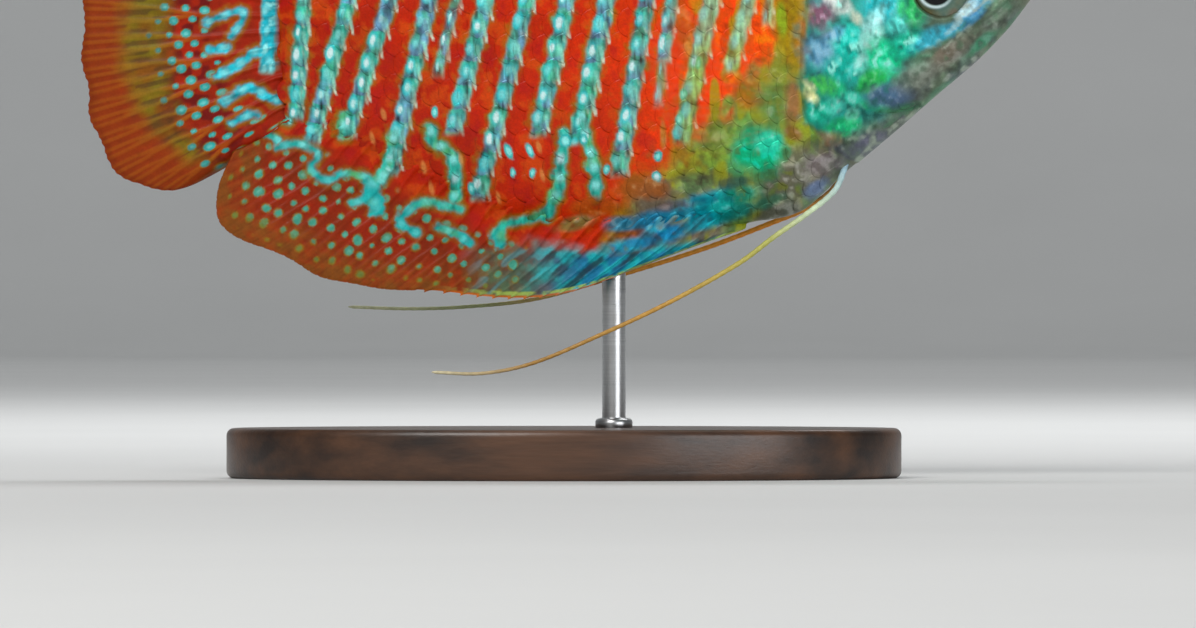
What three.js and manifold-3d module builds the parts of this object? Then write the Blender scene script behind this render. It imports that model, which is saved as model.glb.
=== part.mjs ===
// A male dwarf gourami at life size, swimming to +X above a small display stand.
// Millimetres, +Z up. The origin is on the floor, in the middle of the model.
import * as THREE from "three";
import { mergeVertices } from "three/addons/utils/BufferGeometryUtils.js";
import Module from "manifold-3d";

const wasm = await Module();
wasm.setup();

// Driving sizes
const GAP = 0.3; // clearance that neighbouring pieces keep
const SWIM_HEIGHT = 36; // from the floor to the fish's own axis
const SNOUT_X = 38.56;
const TAIL_BASE_X = -22.8;
const FIN_MEMBRANE = 0.5; // thickness of a fin between its rays
const FIN_RAY = 0.95; // thickness at a ray's root
const FIN_EDGE = 0.34; // thickness at the margin
const SIDES = 24; // of a body section
const EYE = { x: 30.0, z: 3.05, y: 2.6, radius: 2.85, depth: 1.45, yaw: 12 };

// The trunk by stations: x, top, bottom and half width
const STATIONS = [
  [-22.8, 9.4, -7.4, 1.0],
  [-21.2, 9.7, -8.1, 1.7],
  [-18.5, 10.4, -9.2, 2.3],
  [-14, 12.1, -11.5, 3.1],
  [-9, 14.1, -14, 3.9],
  [-3, 15.9, -16.3, 4.7],
  [3, 16.85, -17, 5.25],
  [9, 17.05, -16.6, 5.5],
  [15, 16.3, -15.6, 5.5],
  [19, 15.1, -14.7, 5.3],
  [22.7, 13.4, -11.5, 4.85],
  [26.5, 11.4, -8.3, 4.25],
  [30, 9.5, -5.3, 3.6],
  [33, 8.1, -2.75, 2.95],
  [35.4, 7.15, -0.3, 2.35],
  [37, 6.45, 1.75, 1.85],
  [38.1, 5.75, 3.3, 1.3],
  [38.56, 5.0, 4.2, 0.6],
];

// A smooth curve through points [place, value], with Catmull-Rom slopes
function smoothCurve(points) {
  const last = points.length - 1;
  const slope = (i) => {
    const a = points[Math.max(i - 1, 0)];
    const b = points[Math.min(i + 1, last)];
    return (b[1] - a[1]) / (b[0] - a[0]);
  };
  return (at) => {
    const place = Math.min(Math.max(at, points[0][0]), points[last][0]);
    let i = 0;
    while (i < last - 1 && place > points[i + 1][0]) i += 1;
    const [x0, y0] = points[i];
    const [x1, y1] = points[i + 1];
    const width = x1 - x0;
    const t = (place - x0) / width;
    const rise = t * t * (3 - 2 * t);
    const out = t * (1 - t) * (1 - t);
    const back = t * t * (t - 1);
    return y0 + (y1 - y0) * rise + width * (slope(i) * out + slope(i + 1) * back);
  };
}

const bodyTop = smoothCurve(STATIONS.map((s) => [s[0], s[1]]));
const bodyBottom = smoothCurve(STATIONS.map((s) => [s[0], s[2]]));
const bodyHalfWidth = smoothCurve(STATIONS.map((s) => [s[0], s[3]]));
const step = (from, to, at) => THREE.MathUtils.smoothstep(at, from, to);

// The flank's distance from the middle plane at a point of the side view
const FLANK_POWER = 0.6;
function flankY(x, z) {
  const middle = (bodyTop(x) + bodyBottom(x)) / 2;
  const half = (bodyTop(x) - bodyBottom(x)) / 2;
  const share = Math.min(1, Math.abs(z - middle) / half);
  return bodyHalfWidth(x) * (1 - share * share) ** FLANK_POWER;
}

// The gill cover stands proud of the head, most at its rear edge
const GILL_COVER = { front: 28, rear: 21, top: 9.5, bottom: -12.5, fade: 4, rise: 0.4 };
function gillRise(x, z) {
  const along = 1 - step(GILL_COVER.rear, GILL_COVER.front, x);
  const up = 1 - step(GILL_COVER.top - GILL_COVER.fade, GILL_COVER.top, z);
  const down = step(GILL_COVER.bottom, GILL_COVER.bottom + GILL_COVER.fade, z);
  return GILL_COVER.rise * along * up * down;
}

// Solids to and from three.js geometry
function solidOf(geometry) {
  const loose = geometry.index ? geometry.toNonIndexed() : geometry;
  const bare = new THREE.BufferGeometry();
  bare.setAttribute("position", loose.getAttribute("position"));
  const merged = mergeVertices(bare, 1e-4);
  const mesh = new wasm.Mesh({
    numProp: 3,
    vertProperties: merged.attributes.position.array,
    triVerts: new Uint32Array(merged.index.array),
  });
  return new wasm.Manifold(mesh);
}

function largestOf(solid) {
  const pieces = solid.decompose();
  return pieces.sort((a, b) => b.volume() - a.volume())[0];
}

function geometryOf(solid) {
  const { vertProperties, triVerts } = largestOf(solid).getMesh();
  const geometry = new THREE.BufferGeometry();
  geometry.setAttribute("position", new THREE.BufferAttribute(vertProperties, 3));
  geometry.setIndex(new THREE.BufferAttribute(triVerts, 1));
  geometry.computeVertexNormals();
  return geometry;
}

// A geometry from points and triangles, turned so that its faces point out
function closedGeometry(points, triangles) {
  const [a, b, c] = [new THREE.Vector3(), new THREE.Vector3(), new THREE.Vector3()];
  let volume = 0;
  for (const [i, j, k] of triangles) {
    a.fromArray(points[i]);
    b.fromArray(points[j]);
    c.fromArray(points[k]);
    volume += a.dot(b.cross(c));
  }
  const facing = volume > 0 ? triangles : triangles.map(([i, j, k]) => [i, k, j]);
  const geometry = new THREE.BufferGeometry();
  geometry.setAttribute("position", new THREE.Float32BufferAttribute(points.flat(), 3));
  geometry.setIndex(facing.flat());
  geometry.computeVertexNormals();
  return geometry;
}

// A tube of rings of equal length, closed by a fan at both ends
function ringsGeometry(rings) {
  const sides = rings[0].length;
  const points = rings.flat();
  const triangles = [];
  for (let r = 0; r < rings.length - 1; r += 1) {
    for (let s = 0; s < sides; s += 1) {
      const a = r * sides + s;
      const b = r * sides + ((s + 1) % sides);
      triangles.push([a, b, b + sides], [a, b + sides, a + sides]);
    }
  }
  for (const [ring, first] of [[rings[0], 0], [rings.at(-1), (rings.length - 1) * sides]]) {
    const centre = points.length;
    points.push([0, 1, 2].map((k) => ring.reduce((sum, p) => sum + p[k], 0) / sides));
    for (let s = 0; s < sides; s += 1) {
      const pair = [first + s, first + ((s + 1) % sides)];
      triangles.push(first === 0 ? [centre, pair[1], pair[0]] : [centre, ...pair]);
    }
  }
  return closedGeometry(points, triangles);
}

// The whole trunk as one loft, grown all round by `grow`, with the gill covers raised if asked
const LOFT = { headX: 16, snoutX: 37, trunkStep: 1.94, headStep: 1.05, snoutRings: [37.4, 37.9, 38.3] };
const SNOUT_TIP = { z: 4.6, beyond: 0.25, share: 0.5 };
function trunkGeometry({ grow = 0, gills = false } = {}) {
  const xs = [];
  for (let x = TAIL_BASE_X; x < LOFT.headX; x += LOFT.trunkStep) xs.push(x);
  for (let x = LOFT.headX; x < LOFT.snoutX; x += LOFT.headStep) xs.push(x);
  xs.push(...LOFT.snoutRings, SNOUT_X);
  const rings = xs.map((x) => {
    const middle = (bodyTop(x) + bodyBottom(x)) / 2;
    const half = (bodyTop(x) - bodyBottom(x)) / 2 + grow;
    const width = bodyHalfWidth(x) + grow;
    return Array.from({ length: SIDES }, (_, s) => {
      const angle = (2 * Math.PI * s) / SIDES;
      const across = Math.cos(angle);
      const z = middle + half * Math.sin(angle);
      const rise = gills ? gillRise(x, z) * Math.abs(across) : 0;
      const y = Math.sign(across) * (width * Math.abs(across) ** (2 * FLANK_POWER) + rise);
      return [x, Math.abs(across) < 1e-9 ? 0 : y, z];
    });
  });
  const { z: tipZ, beyond, share } = SNOUT_TIP;
  const tip = rings.at(-1).map(([x, y, z]) => [x + beyond + grow, y * share, tipZ + (z - tipZ) * share]);
  rings.push(tip);
  if (grow > 0) rings.unshift(rings[0].map(([x, y, z]) => [x - grow, y, z]));
  return ringsGeometry(rings);
}

// A block across the whole fish whose outline in the side view is the given [x, z] points
const BLOCK_DEPTH = 24;
function sideBlock(outline) {
  const shape = new THREE.Shape(outline.map(([x, z]) => new THREE.Vector2(x, z)));
  const geometry = new THREE.ExtrudeGeometry(shape, { depth: BLOCK_DEPTH, bevelEnabled: false });
  geometry.rotateX(Math.PI / 2);
  geometry.translate(0, BLOCK_DEPTH / 2, 0);
  return solidOf(geometry);
}

// The line of the gill opening, from nape to throat, and the line where the tail stem starts
const GILL_LINE = [
  [24.5, 16],
  [22.6, 12.5],
  [20.4, 7],
  [19.2, 1],
  [18.9, -4],
  [19.6, -7.8],
  [21.6, -10],
  [24.2, -11.2],
  [26, -14],
];
const STEM_X = -15.5;
const STEM_BULGE = 1.2;
function curvePoints(points, count) {
  const curve = new THREE.CatmullRomCurve3(points.map(([x, z]) => new THREE.Vector3(x, 0, z)));
  return curve.getPoints(count).map((p) => [p.x, p.z]);
}
const gillLine = curvePoints(GILL_LINE, 18);
const stemLine = [20, 8, 1, -6, -20].map((z) => [STEM_X - STEM_BULGE * (1 - ((z - 1) / 19) ** 2), z]);

// Everything of the fish in front of a line, or behind it
const FAR = { x: 60, z: 40 };
function inFrontOf(line) {
  const beyond = FAR.z / 2;
  const ahead = [[FAR.x, line.at(-1)[1] - beyond], [FAR.x, line[0][1] + beyond]];
  return sideBlock([...line, ...ahead].reverse());
}

function behind(line, shift) {
  const edge = line.map(([x, z]) => [x + shift, z]);
  const reach = [[edge[0][0], FAR.z], ...edge, [edge.at(-1)[0], -FAR.z]];
  return sideBlock([...reach, [-FAR.x, -FAR.z], [-FAR.x, FAR.z]]);
}

const trunk = solidOf(trunkGeometry());
const trunkWithGills = solidOf(trunkGeometry({ gills: true }));
const trunkGrown = solidOf(trunkGeometry({ grow: GAP }));

// A tapering tube of `sides` along a path; `across` is the direction its ring starts from
function tubeSolid(path, { steps, sides, radiusAt, across }) {
  const rings = [];
  for (let i = 0; i <= steps; i += 1) {
    const share = i / steps;
    const at = path.getPointAt(share);
    const along = path.getTangentAt(share);
    const out = new THREE.Vector3().crossVectors(along, across).normalize();
    const lift = new THREE.Vector3().crossVectors(out, along).normalize();
    const radius = radiusAt(share);
    rings.push(
      Array.from({ length: sides }, (_, s) => {
        const angle = (2 * Math.PI * s) / sides;
        return at
          .clone()
          .addScaledVector(out, radius * Math.cos(angle))
          .addScaledVector(lift, radius * Math.sin(angle))
          .toArray();
      }),
    );
  }
  return solidOf(ringsGeometry(rings));
}

// Head
function lipPath(drop, forward) {
  const half = [
    [36.3, 1.55, 3.3],
    [37.3, 1.35, 4.1],
    [38.05, 0.85, 4.75],
    [38.3, 0, 5.0],
  ];
  const shifted = half.map(([x, y, z]) => new THREE.Vector3(x + forward, y, z + drop));
  const mirrored = shifted.slice(0, -1).reverse().map((p) => new THREE.Vector3(p.x, -p.y, p.z));
  return new THREE.CatmullRomCurve3([...shifted, ...mirrored]);
}

const UPPER_LIP = { drop: 0.36, forward: -0.06 };
const LOWER_LIP = { drop: -0.46, forward: 0.14 };
const LIP_RADIUS = 0.42; // at the snout
const LIP_CORNER = 0.55; // of that radius at the corners of the mouth
function lipSolid({ drop, forward }) {
  return tubeSolid(lipPath(drop, forward), {
    steps: 14,
    sides: 8,
    radiusAt: (share) => LIP_RADIUS * (LIP_CORNER + (1 - LIP_CORNER) * Math.sin(Math.PI * share)),
    across: new THREE.Vector3(0.5, 0, 0.87),
  });
}

// An eyeball, or its socket where `grow` is a gap; it faces a little forward on its side
const EYE_SIDES = 18;
const EYE_ROWS = 12;
function eyeGeometry(side, grow) {
  const geometry = new THREE.SphereGeometry(1, EYE_SIDES, EYE_ROWS);
  geometry.scale(EYE.radius + grow, EYE.depth + grow, EYE.radius + grow);
  geometry.rotateZ(THREE.MathUtils.degToRad(-side * EYE.yaw));
  geometry.translate(EYE.x, side * EYE.y, EYE.z);
  return geometry;
}

function pit(x, z, side, radius, depth) {
  const geometry = new THREE.CylinderGeometry(radius, radius * 0.7, 2 * depth, 8);
  geometry.translate(x, side * flankY(x, z), z);
  return solidOf(geometry);
}

// The gape runs down and back from the snout between the lips
const GAPE = [
  [39.6, 5.62],
  [39.6, 5.12],
  [36.55, 3.12],
  [36.45, 3.22],
];
const NOSTRILS = [
  [35.0, 5.65, 0.28],
  [33.5, 6.1, 0.36],
];
const NOSTRIL_DEPTH = 0.55;

function headSolid() {
  let head = trunkWithGills.intersect(inFrontOf(gillLine));
  head = head.add(lipSolid(UPPER_LIP)).add(lipSolid(LOWER_LIP));
  for (const side of [-1, 1]) {
    head = head.subtract(solidOf(eyeGeometry(side, GAP)));
    for (const [x, z, radius] of NOSTRILS) {
      head = head.subtract(pit(x, z, side, radius, NOSTRIL_DEPTH));
    }
  }
  return head.subtract(sideBlock([...GAPE].reverse()));
}

// A fin is a thin sheet with its rays raised on both faces. columns: { u(v), ray(v), reach };
// place(u, v) is the middle of the sheet and thickness is measured along `normal`.
const RAY_TAPER = 0.72; // share of a ray's height that it loses out to the margin
function finGeometry({ columns, rows, place, normal = [0, 1, 0] }) {
  const points = [];
  for (const face of [1, -1]) {
    for (const column of columns) {
      for (let j = 0; j <= rows; j += 1) {
        const v = j / rows;
        const membrane = FIN_MEMBRANE + (FIN_EDGE - FIN_MEMBRANE) * v ** 4;
        const ridge = (FIN_RAY - FIN_MEMBRANE) * column.ray(v) * (1 - RAY_TAPER * v);
        const half = (membrane + ridge) / 2;
        const at = place(column.u(v), v * (1 + column.reach));
        points.push(at.map((value, k) => value + face * half * normal[k]));
      }
    }
  }
  const across = columns.length;
  const tall = rows + 1;
  const other = across * tall;
  const triangles = [];
  const quad = (a, b, c, d) => triangles.push([a, b, c], [a, c, d]);
  for (let i = 0; i < across - 1; i += 1) {
    for (let j = 0; j < rows; j += 1) {
      const a = i * tall + j;
      triangles.push([a, a + tall, a + tall + 1], [a, a + tall + 1, a + 1]);
      const b = a + other;
      triangles.push([b, b + tall + 1, b + tall], [b, b + 1, b + tall + 1]);
    }
    const root = i * tall;
    quad(root, root + other, root + tall + other, root + tall);
    const rim = root + rows;
    quad(rim, rim + tall, rim + tall + other, rim + other);
  }
  for (let j = 0; j < rows; j += 1) {
    quad(j, j + 1, j + 1 + other, j + other);
    const a = (across - 1) * tall + j;
    quad(a, a + other, a + other + 1, a + 1);
  }
  return closedGeometry(points, triangles);
}

// Columns for `spines` stiff rays and then `soft` ones that fork half way out
const RAY_HALF = 0.17; // half a ray's width, as a share of the distance between rays
const FORK = { from: 0.4, to: 0.75, spread: 0.09, sink: 0.8 };
function rayColumns(spines, soft, { spineReach = 0.07, softReach = 0.02 } = {}) {
  const total = spines + soft;
  const columns = [];
  for (let k = 0; k < total; k += 1) {
    const stiff = k < spines;
    const fork = (v) => (stiff ? 0 : step(FORK.from, FORK.to, v));
    const offset = (v) => (RAY_HALF + FORK.spread * fork(v)) / (total - 1);
    const centre = k / (total - 1);
    const reach = stiff ? spineReach : 0;
    const crest = { u: () => centre, ray: (v) => 1 - FORK.sink * fork(v), reach };
    const foot = (side) => ({
      u: (v) => centre + side * offset(v),
      ray: (v) => fork(v),
      reach: stiff ? 0 : softReach,
    });
    if (k > 0) columns.push(foot(-1));
    columns.push(crest);
    if (k < total - 1) columns.push(foot(1));
    const open = { u: () => centre + 0.5 / (total - 1), ray: () => 0, reach: 0 };
    if (!stiff && k < total - 1) columns.push(open);
  }
  return columns;
}

// Dorsal and anal fins: rays rooted along the back or belly that lean back and bend back a little
const LEAN_AT_ROOT = 0.86; // share of a ray's lean that it starts with
function medianFin({ from, to, edge, up, spines, soft, lengths, leans, sway, rows }) {
  const lengthAt = smoothCurve(lengths);
  const leanAt = smoothCurve(leans);
  const place = (u, v) => {
    const x = from + (to - from) * u;
    const lean = THREE.MathUtils.degToRad(leanAt(u) * (LEAN_AT_ROOT + (1 - LEAN_AT_ROOT) * v));
    const reach = lengthAt(u) * v;
    const rootZ = edge(x) + up * GAP;
    const y = sway * u ** 3 * v * v;
    return [x - reach * Math.sin(lean), y, rootZ + up * reach * Math.cos(lean)];
  };
  return finGeometry({ columns: rayColumns(spines, soft), rows, place });
}

const DORSAL_FIN = {
  from: 15,
  to: -19.2,
  edge: bodyTop,
  up: 1,
  spines: 16,
  soft: 9,
  sway: 1.1,
  rows: 6,
  lengths: [
    [0, 1.6],
    [0.1, 4.6],
    [0.3, 7.4],
    [0.6, 8.9],
    [0.75, 11.2],
    [0.87, 14.2],
    [0.94, 13.4],
    [1, 6.2],
  ],
  leans: [
    [0, 46],
    [0.3, 46],
    [0.6, 50],
    [0.85, 55],
    [0.94, 61],
    [1, 72],
  ],
};

const ANAL_FIN = {
  from: 14.6,
  to: -22.3,
  edge: bodyBottom,
  up: -1,
  spines: 17,
  soft: 14,
  sway: -0.9,
  rows: 6,
  lengths: [
    [0, 0.9],
    [0.1, 4.0],
    [0.24, 6.5],
    [0.48, 7.2],
    [0.68, 10.0],
    [0.8, 10.5],
    [0.89, 10.9],
    [0.945, 8.5],
    [1, 4.2],
  ],
  leans: [
    [0, 66],
    [0.24, 53],
    [0.48, 49],
    [0.72, 47.5],
    [0.82, 51.5],
    [0.91, 56],
    [1, 62],
  ],
};

// Caudal fin: a fan of rays from the end of the tail stem; lengths go from the middle ray outwards
const CAUDAL_FIN = {
  rootZ: 1.3,
  rootHalf: 7.9,
  rootBow: 0.6,
  rays: 15,
  fan: 40,
  tilt: 1,
  sway: 1.6,
  lengths: [
    [0, 15.5],
    [0.5, 15.4],
    [0.7, 14.4],
    [0.8, 13.0],
    [0.88, 11.5],
    [0.94, 9.4],
    [1, 4.8],
  ],
};
const caudalLength = smoothCurve(CAUDAL_FIN.lengths);

// How far back the tail stem's rear edge lies at a share t of its half height
const stemEnd = (t) => TAIL_BASE_X + CAUDAL_FIN.rootBow * t * t;

function caudalPlace(u, v) {
  const t = 2 * u - 1; // 1 at the lowest ray
  const angle = THREE.MathUtils.degToRad(CAUDAL_FIN.fan * t - CAUDAL_FIN.tilt);
  const reach = caudalLength(Math.abs(t)) * v;
  return [
    stemEnd(t) - GAP - reach * Math.cos(angle),
    CAUDAL_FIN.sway * v * v,
    CAUDAL_FIN.rootZ - CAUDAL_FIN.rootHalf * t - reach * Math.sin(angle),
  ];
}

function caudalGeometry() {
  return finGeometry({ columns: rayColumns(0, CAUDAL_FIN.rays), rows: 7, place: caudalPlace });
}

// Pectoral fins: clear fans behind the gill covers, held a little away from the flank
const PECTORAL = {
  x: 18.2,
  z: -6.4,
  rootHalf: 1.6,
  rays: 9,
  length: 12.8,
  out: 24,
  rise: 6,
  fan: 26,
  inset: 0.9,
};
function pectoralSolid(side) {
  const out = THREE.MathUtils.degToRad(PECTORAL.out);
  const place = (u, v) => {
    const t = 2 * u - 1;
    const angle = THREE.MathUtils.degToRad(PECTORAL.rise - PECTORAL.fan * t);
    const reach = PECTORAL.length * (1 - 0.2 * t - 0.28 * Math.abs(t) ** 2.5) * v;
    const rootZ = PECTORAL.z - PECTORAL.rootHalf * t;
    const away = reach * Math.cos(angle) - PECTORAL.inset;
    return [
      PECTORAL.x - away * Math.cos(out),
      side * (flankY(PECTORAL.x, rootZ) + away * Math.sin(out)),
      rootZ + reach * Math.sin(angle),
    ];
  };
  const normal = [Math.sin(out), side * Math.cos(out), 0];
  const columns = rayColumns(PECTORAL.rays, 0, { spineReach: 0.02 });
  const fin = solidOf(finGeometry({ columns, rows: 5, place, normal }));
  return fin.subtract(trunkGrown);
}

// Pelvic fins: one long thread on each side, from the breast back under the anal fin
const PELVIC_THREADS = {
  right: [
    [22.6, -0.8, -10.6],
    [21.7, -1.2, -12.9],
    [19.5, -1.9, -14.8],
    [16.8, -2.6, -16.7],
    [14, -3.2, -18.8],
    [8.5, -4.1, -21.9],
    [3, -4.7, -24.5],
    [-2.5, -5.1, -26.8],
    [-6.5, -5.3, -27.6],
    [-10.5, -5.4, -27.5],
  ],
  left: [
    [22.6, 0.8, -10.6],
    [21.6, 1.3, -12.8],
    [19.4, 2.0, -14.4],
    [16.8, 2.8, -15.5],
    [11.3, 4.2, -17.6],
    [3, 5.2, -20.2],
    [-2.5, 5.4, -21.7],
    [-8, 5.3, -22.3],
    [-12.5, 5.1, -22.45],
    [-17.4, 4.9, -22.3],
  ],
};
const THREAD_RADIUS = 0.3;
const THREAD_TIP = 0.12;
function threadSolid(points) {
  const path = new THREE.CatmullRomCurve3(points.map((p) => new THREE.Vector3(...p)));
  const tube = tubeSolid(path, {
    steps: 26,
    sides: 8,
    radiusAt: (share) => THREAD_RADIUS + (THREAD_TIP - THREAD_RADIUS) * share ** 2,
    across: new THREE.Vector3(0, 1, 0),
  });
  return tube.subtract(trunkGrown);
}

// Stand: an oval base, and a rod that meets the left flank behind the anal fin
const BASE = { length: 54, width: 32, thickness: 4, chamfer: 0.6 };
const BASE_SIDES = 40;
const ROD = { x: 4, y: 2.7, radius: 0.95, top: SWIM_HEIGHT - 9 };
const ROD_SIDES = 16;
function baseGeometry() {
  const rings = [
    [0, BASE.chamfer],
    [BASE.chamfer, 0],
    [BASE.thickness - BASE.chamfer, 0],
    [BASE.thickness, BASE.chamfer],
  ].map(([z, inset]) =>
    Array.from({ length: BASE_SIDES }, (_, s) => {
      const angle = (2 * Math.PI * s) / BASE_SIDES;
      const x = (BASE.length / 2 - inset) * Math.cos(angle);
      return [x, (BASE.width / 2 - inset) * Math.sin(angle), z];
    }),
  );
  return ringsGeometry(rings);
}

function rodSolid() {
  const bottom = BASE.thickness + GAP;
  const rod = new THREE.CylinderGeometry(ROD.radius, ROD.radius, ROD.top - bottom, ROD_SIDES);
  rod.rotateX(Math.PI / 2);
  rod.translate(ROD.x, ROD.y, (ROD.top + bottom) / 2);
  return solidOf(rod).subtract(trunkGrown.translate([0, 0, SWIM_HEIGHT]));
}

// Materials
const MATERIALS = {
  skin: new THREE.MeshStandardMaterial({ color: 0xc23a1c, roughness: 0.35, metalness: 0.1 }),
  head: new THREE.MeshStandardMaterial({ color: 0x4f9c94, roughness: 0.3, metalness: 0.25 }),
  fin: new THREE.MeshStandardMaterial({ color: 0xb03a1a, roughness: 0.4, metalness: 0 }),
  clearFin: new THREE.MeshStandardMaterial({ color: 0xd9c7a0, roughness: 0.3, metalness: 0 }),
  thread: new THREE.MeshStandardMaterial({ color: 0xd6a84a, roughness: 0.45, metalness: 0 }),
  eye: new THREE.MeshStandardMaterial({ color: 0x1c1a16, roughness: 0.05, metalness: 0 }),
  base: new THREE.MeshStandardMaterial({ color: 0x3a2a20, roughness: 0.5, metalness: 0 }),
  steel: new THREE.MeshStandardMaterial({ color: 0xb8babc, roughness: 0.3, metalness: 1 }),
};

function node(name, geometry, material) {
  const mesh = new THREE.Mesh(geometry, material);
  mesh.name = name;
  return mesh;
}

const fish = new THREE.Group();
fish.position.z = SWIM_HEIGHT;

const torso = trunk.intersect(behind(gillLine, -GAP)).intersect(inFrontOf(stemLine));

// The stem's rear edge bows like the roots of the tail fin's rays
const STEM_REAR = { steps: 8, share: 1.4 };
const stemRear = Array.from({ length: STEM_REAR.steps + 1 }, (_, i) => {
  const t = STEM_REAR.share * (1 - (2 * i) / STEM_REAR.steps);
  return [stemEnd(t), CAUDAL_FIN.rootZ + CAUDAL_FIN.rootHalf * t];
});
const stem = trunk.intersect(behind(stemLine, -GAP)).intersect(inFrontOf(stemRear));

fish.add(node("head", geometryOf(headSolid()), MATERIALS.head));
fish.add(node("torso", geometryOf(torso), MATERIALS.skin));
fish.add(node("tail_stem", geometryOf(stem), MATERIALS.skin));
fish.add(node("dorsal_fin", medianFin(DORSAL_FIN), MATERIALS.fin));
fish.add(node("anal_fin", medianFin(ANAL_FIN), MATERIALS.fin));
fish.add(node("caudal_fin", caudalGeometry(), MATERIALS.fin));

for (const [name, side] of [["left", 1], ["right", -1]]) {
  fish.add(node(`eye_${name}`, eyeGeometry(side, 0), MATERIALS.eye));
  fish.add(node(`pectoral_fin_${name}`, geometryOf(pectoralSolid(side)), MATERIALS.clearFin));
  const thread = geometryOf(threadSolid(PELVIC_THREADS[name]));
  fish.add(node(`pelvic_fin_${name}`, thread, MATERIALS.thread));
}

const model = new THREE.Group();
model.add(fish);
model.add(node("stand_base", baseGeometry(), MATERIALS.base));
model.add(node("stand_rod", geometryOf(rodSolid()), MATERIALS.steel));

export default model;
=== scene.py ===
import math

import bpy
import numpy as np
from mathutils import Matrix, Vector

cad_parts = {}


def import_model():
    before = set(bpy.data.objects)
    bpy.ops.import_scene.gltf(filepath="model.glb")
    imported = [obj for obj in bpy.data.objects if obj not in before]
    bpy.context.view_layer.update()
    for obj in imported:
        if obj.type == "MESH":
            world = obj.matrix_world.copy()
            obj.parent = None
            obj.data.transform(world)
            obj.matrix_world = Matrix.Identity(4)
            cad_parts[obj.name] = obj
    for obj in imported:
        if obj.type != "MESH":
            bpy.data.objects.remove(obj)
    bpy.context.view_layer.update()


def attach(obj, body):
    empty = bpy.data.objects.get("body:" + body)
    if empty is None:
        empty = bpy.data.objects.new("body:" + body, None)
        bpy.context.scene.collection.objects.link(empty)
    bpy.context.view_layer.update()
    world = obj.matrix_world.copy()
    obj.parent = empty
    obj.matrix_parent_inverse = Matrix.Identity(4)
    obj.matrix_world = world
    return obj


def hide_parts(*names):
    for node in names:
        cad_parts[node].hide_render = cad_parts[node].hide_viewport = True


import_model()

# Sizes are in millimetres on the fish: x towards the snout, y to its left, z up from its own axis.
MM = 0.001
SWIM_HEIGHT = 36.0
SNOUT_X = 38.56
TAIL_BASE_X = -22.8
SIDES = (("left", 1), ("right", -1))
DRAWS = np.random.default_rng(11)


# Curves and noise
def smooth_curve(points):
    """A function through points (place, value), with Catmull-Rom slopes."""
    px, py = np.array(points, float).T
    slope = np.empty_like(py)
    slope[1:-1] = (py[2:] - py[:-2]) / (px[2:] - px[:-2])
    slope[0] = (py[1] - py[0]) / (px[1] - px[0])
    slope[-1] = (py[-1] - py[-2]) / (px[-1] - px[-2])

    def at(x):
        x = np.clip(x, px[0], px[-1])
        i = np.clip(np.searchsorted(px, x, side="right") - 1, 0, len(px) - 2)
        width = px[i + 1] - px[i]
        t = (x - px[i]) / width
        rise = t * t * (3 - 2 * t)
        out, back = t * (1 - t) ** 2, t * t * (t - 1)
        return py[i] + (py[i + 1] - py[i]) * rise + width * (slope[i] * out + slope[i + 1] * back)

    return at


def step(low, high, x):
    t = np.clip((x - low) / (high - low), 0, 1)
    return t * t * (3 - 2 * t)


def fall(low, high, x):
    return 1 - step(low, high, x)


NOISE_CELLS = 32
NOISE_TABLE = DRAWS.random((NOISE_CELLS,) * 3)


def noise(points, size):
    """Smooth noise from 0 to 1 whose grains are `size` across."""
    q = np.asarray(points, float) / size
    cell = np.floor(q).astype(int)
    f = q - cell
    f = f * f * (3 - 2 * f)
    total = np.zeros(q.shape[:-1])
    for corner in np.ndindex(2, 2, 2):
        weight = np.prod(np.where(corner, f, 1 - f), axis=-1)
        at = (cell + corner) % NOISE_CELLS
        total += weight * NOISE_TABLE[at[..., 0], at[..., 1], at[..., 2]]
    return total


def grain(points, size):
    """Noise of three sizes, from -1 to 1."""
    shifted = [np.asarray(points, float) + 7.3 * k for k in range(3)]
    mixed = sum(noise(p, size / 2**k) / 2**k for k, p in enumerate(shifted)) / 1.75
    return 2 * mixed - 1


def chance(i, j, k):
    """A fixed number from 0 to 1 for each set of whole numbers."""
    i, j, k = (np.asarray(key).astype(int) % NOISE_CELLS for key in (i, j, k))
    return NOISE_TABLE[i, j, k]


def linear(*srgb):
    c = np.array(srgb, float) / 255
    return np.where(c <= 0.04045, c / 12.92, ((c + 0.055) / 1.055) ** 2.4)


def mix(a, b, share):
    """Colours between a and b; a tuple is an sRGB colour."""
    a, b = (linear(*c) if isinstance(c, tuple) else c for c in (a, b))
    return a + (b - a) * np.clip(share, 0, 1)[..., None]


def lit(colour, amount):
    """A colour made brighter by a share of itself."""
    return (linear(*colour) if isinstance(colour, tuple) else colour) * (1 + amount)[..., None]


def bell(away, width):
    return np.exp(-((away / width) ** 2))


def unit(vectors):
    return vectors / np.linalg.norm(vectors, axis=-1, keepdims=True)


def circle(sides):
    return np.linspace(0, 2 * math.pi, sides, endpoint=False)


def turned(dx, dz, lean):
    """Distances along and across a direction that leans by some degrees."""
    a = math.radians(lean)
    return dx * math.cos(a) + dz * math.sin(a), dz * math.cos(a) - dx * math.sin(a)


def rounded(points, times=2):
    """A polyline with its corners cut."""
    p = np.array(points, float)
    for _ in range(times):
        inner = np.stack([0.75 * p[:-1] + 0.25 * p[1:], 0.25 * p[:-1] + 0.75 * p[1:]], 1).reshape(-1, 2)
        p = np.vstack([p[:1], inner[1:-1], p[-1:]])
    return p


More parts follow.
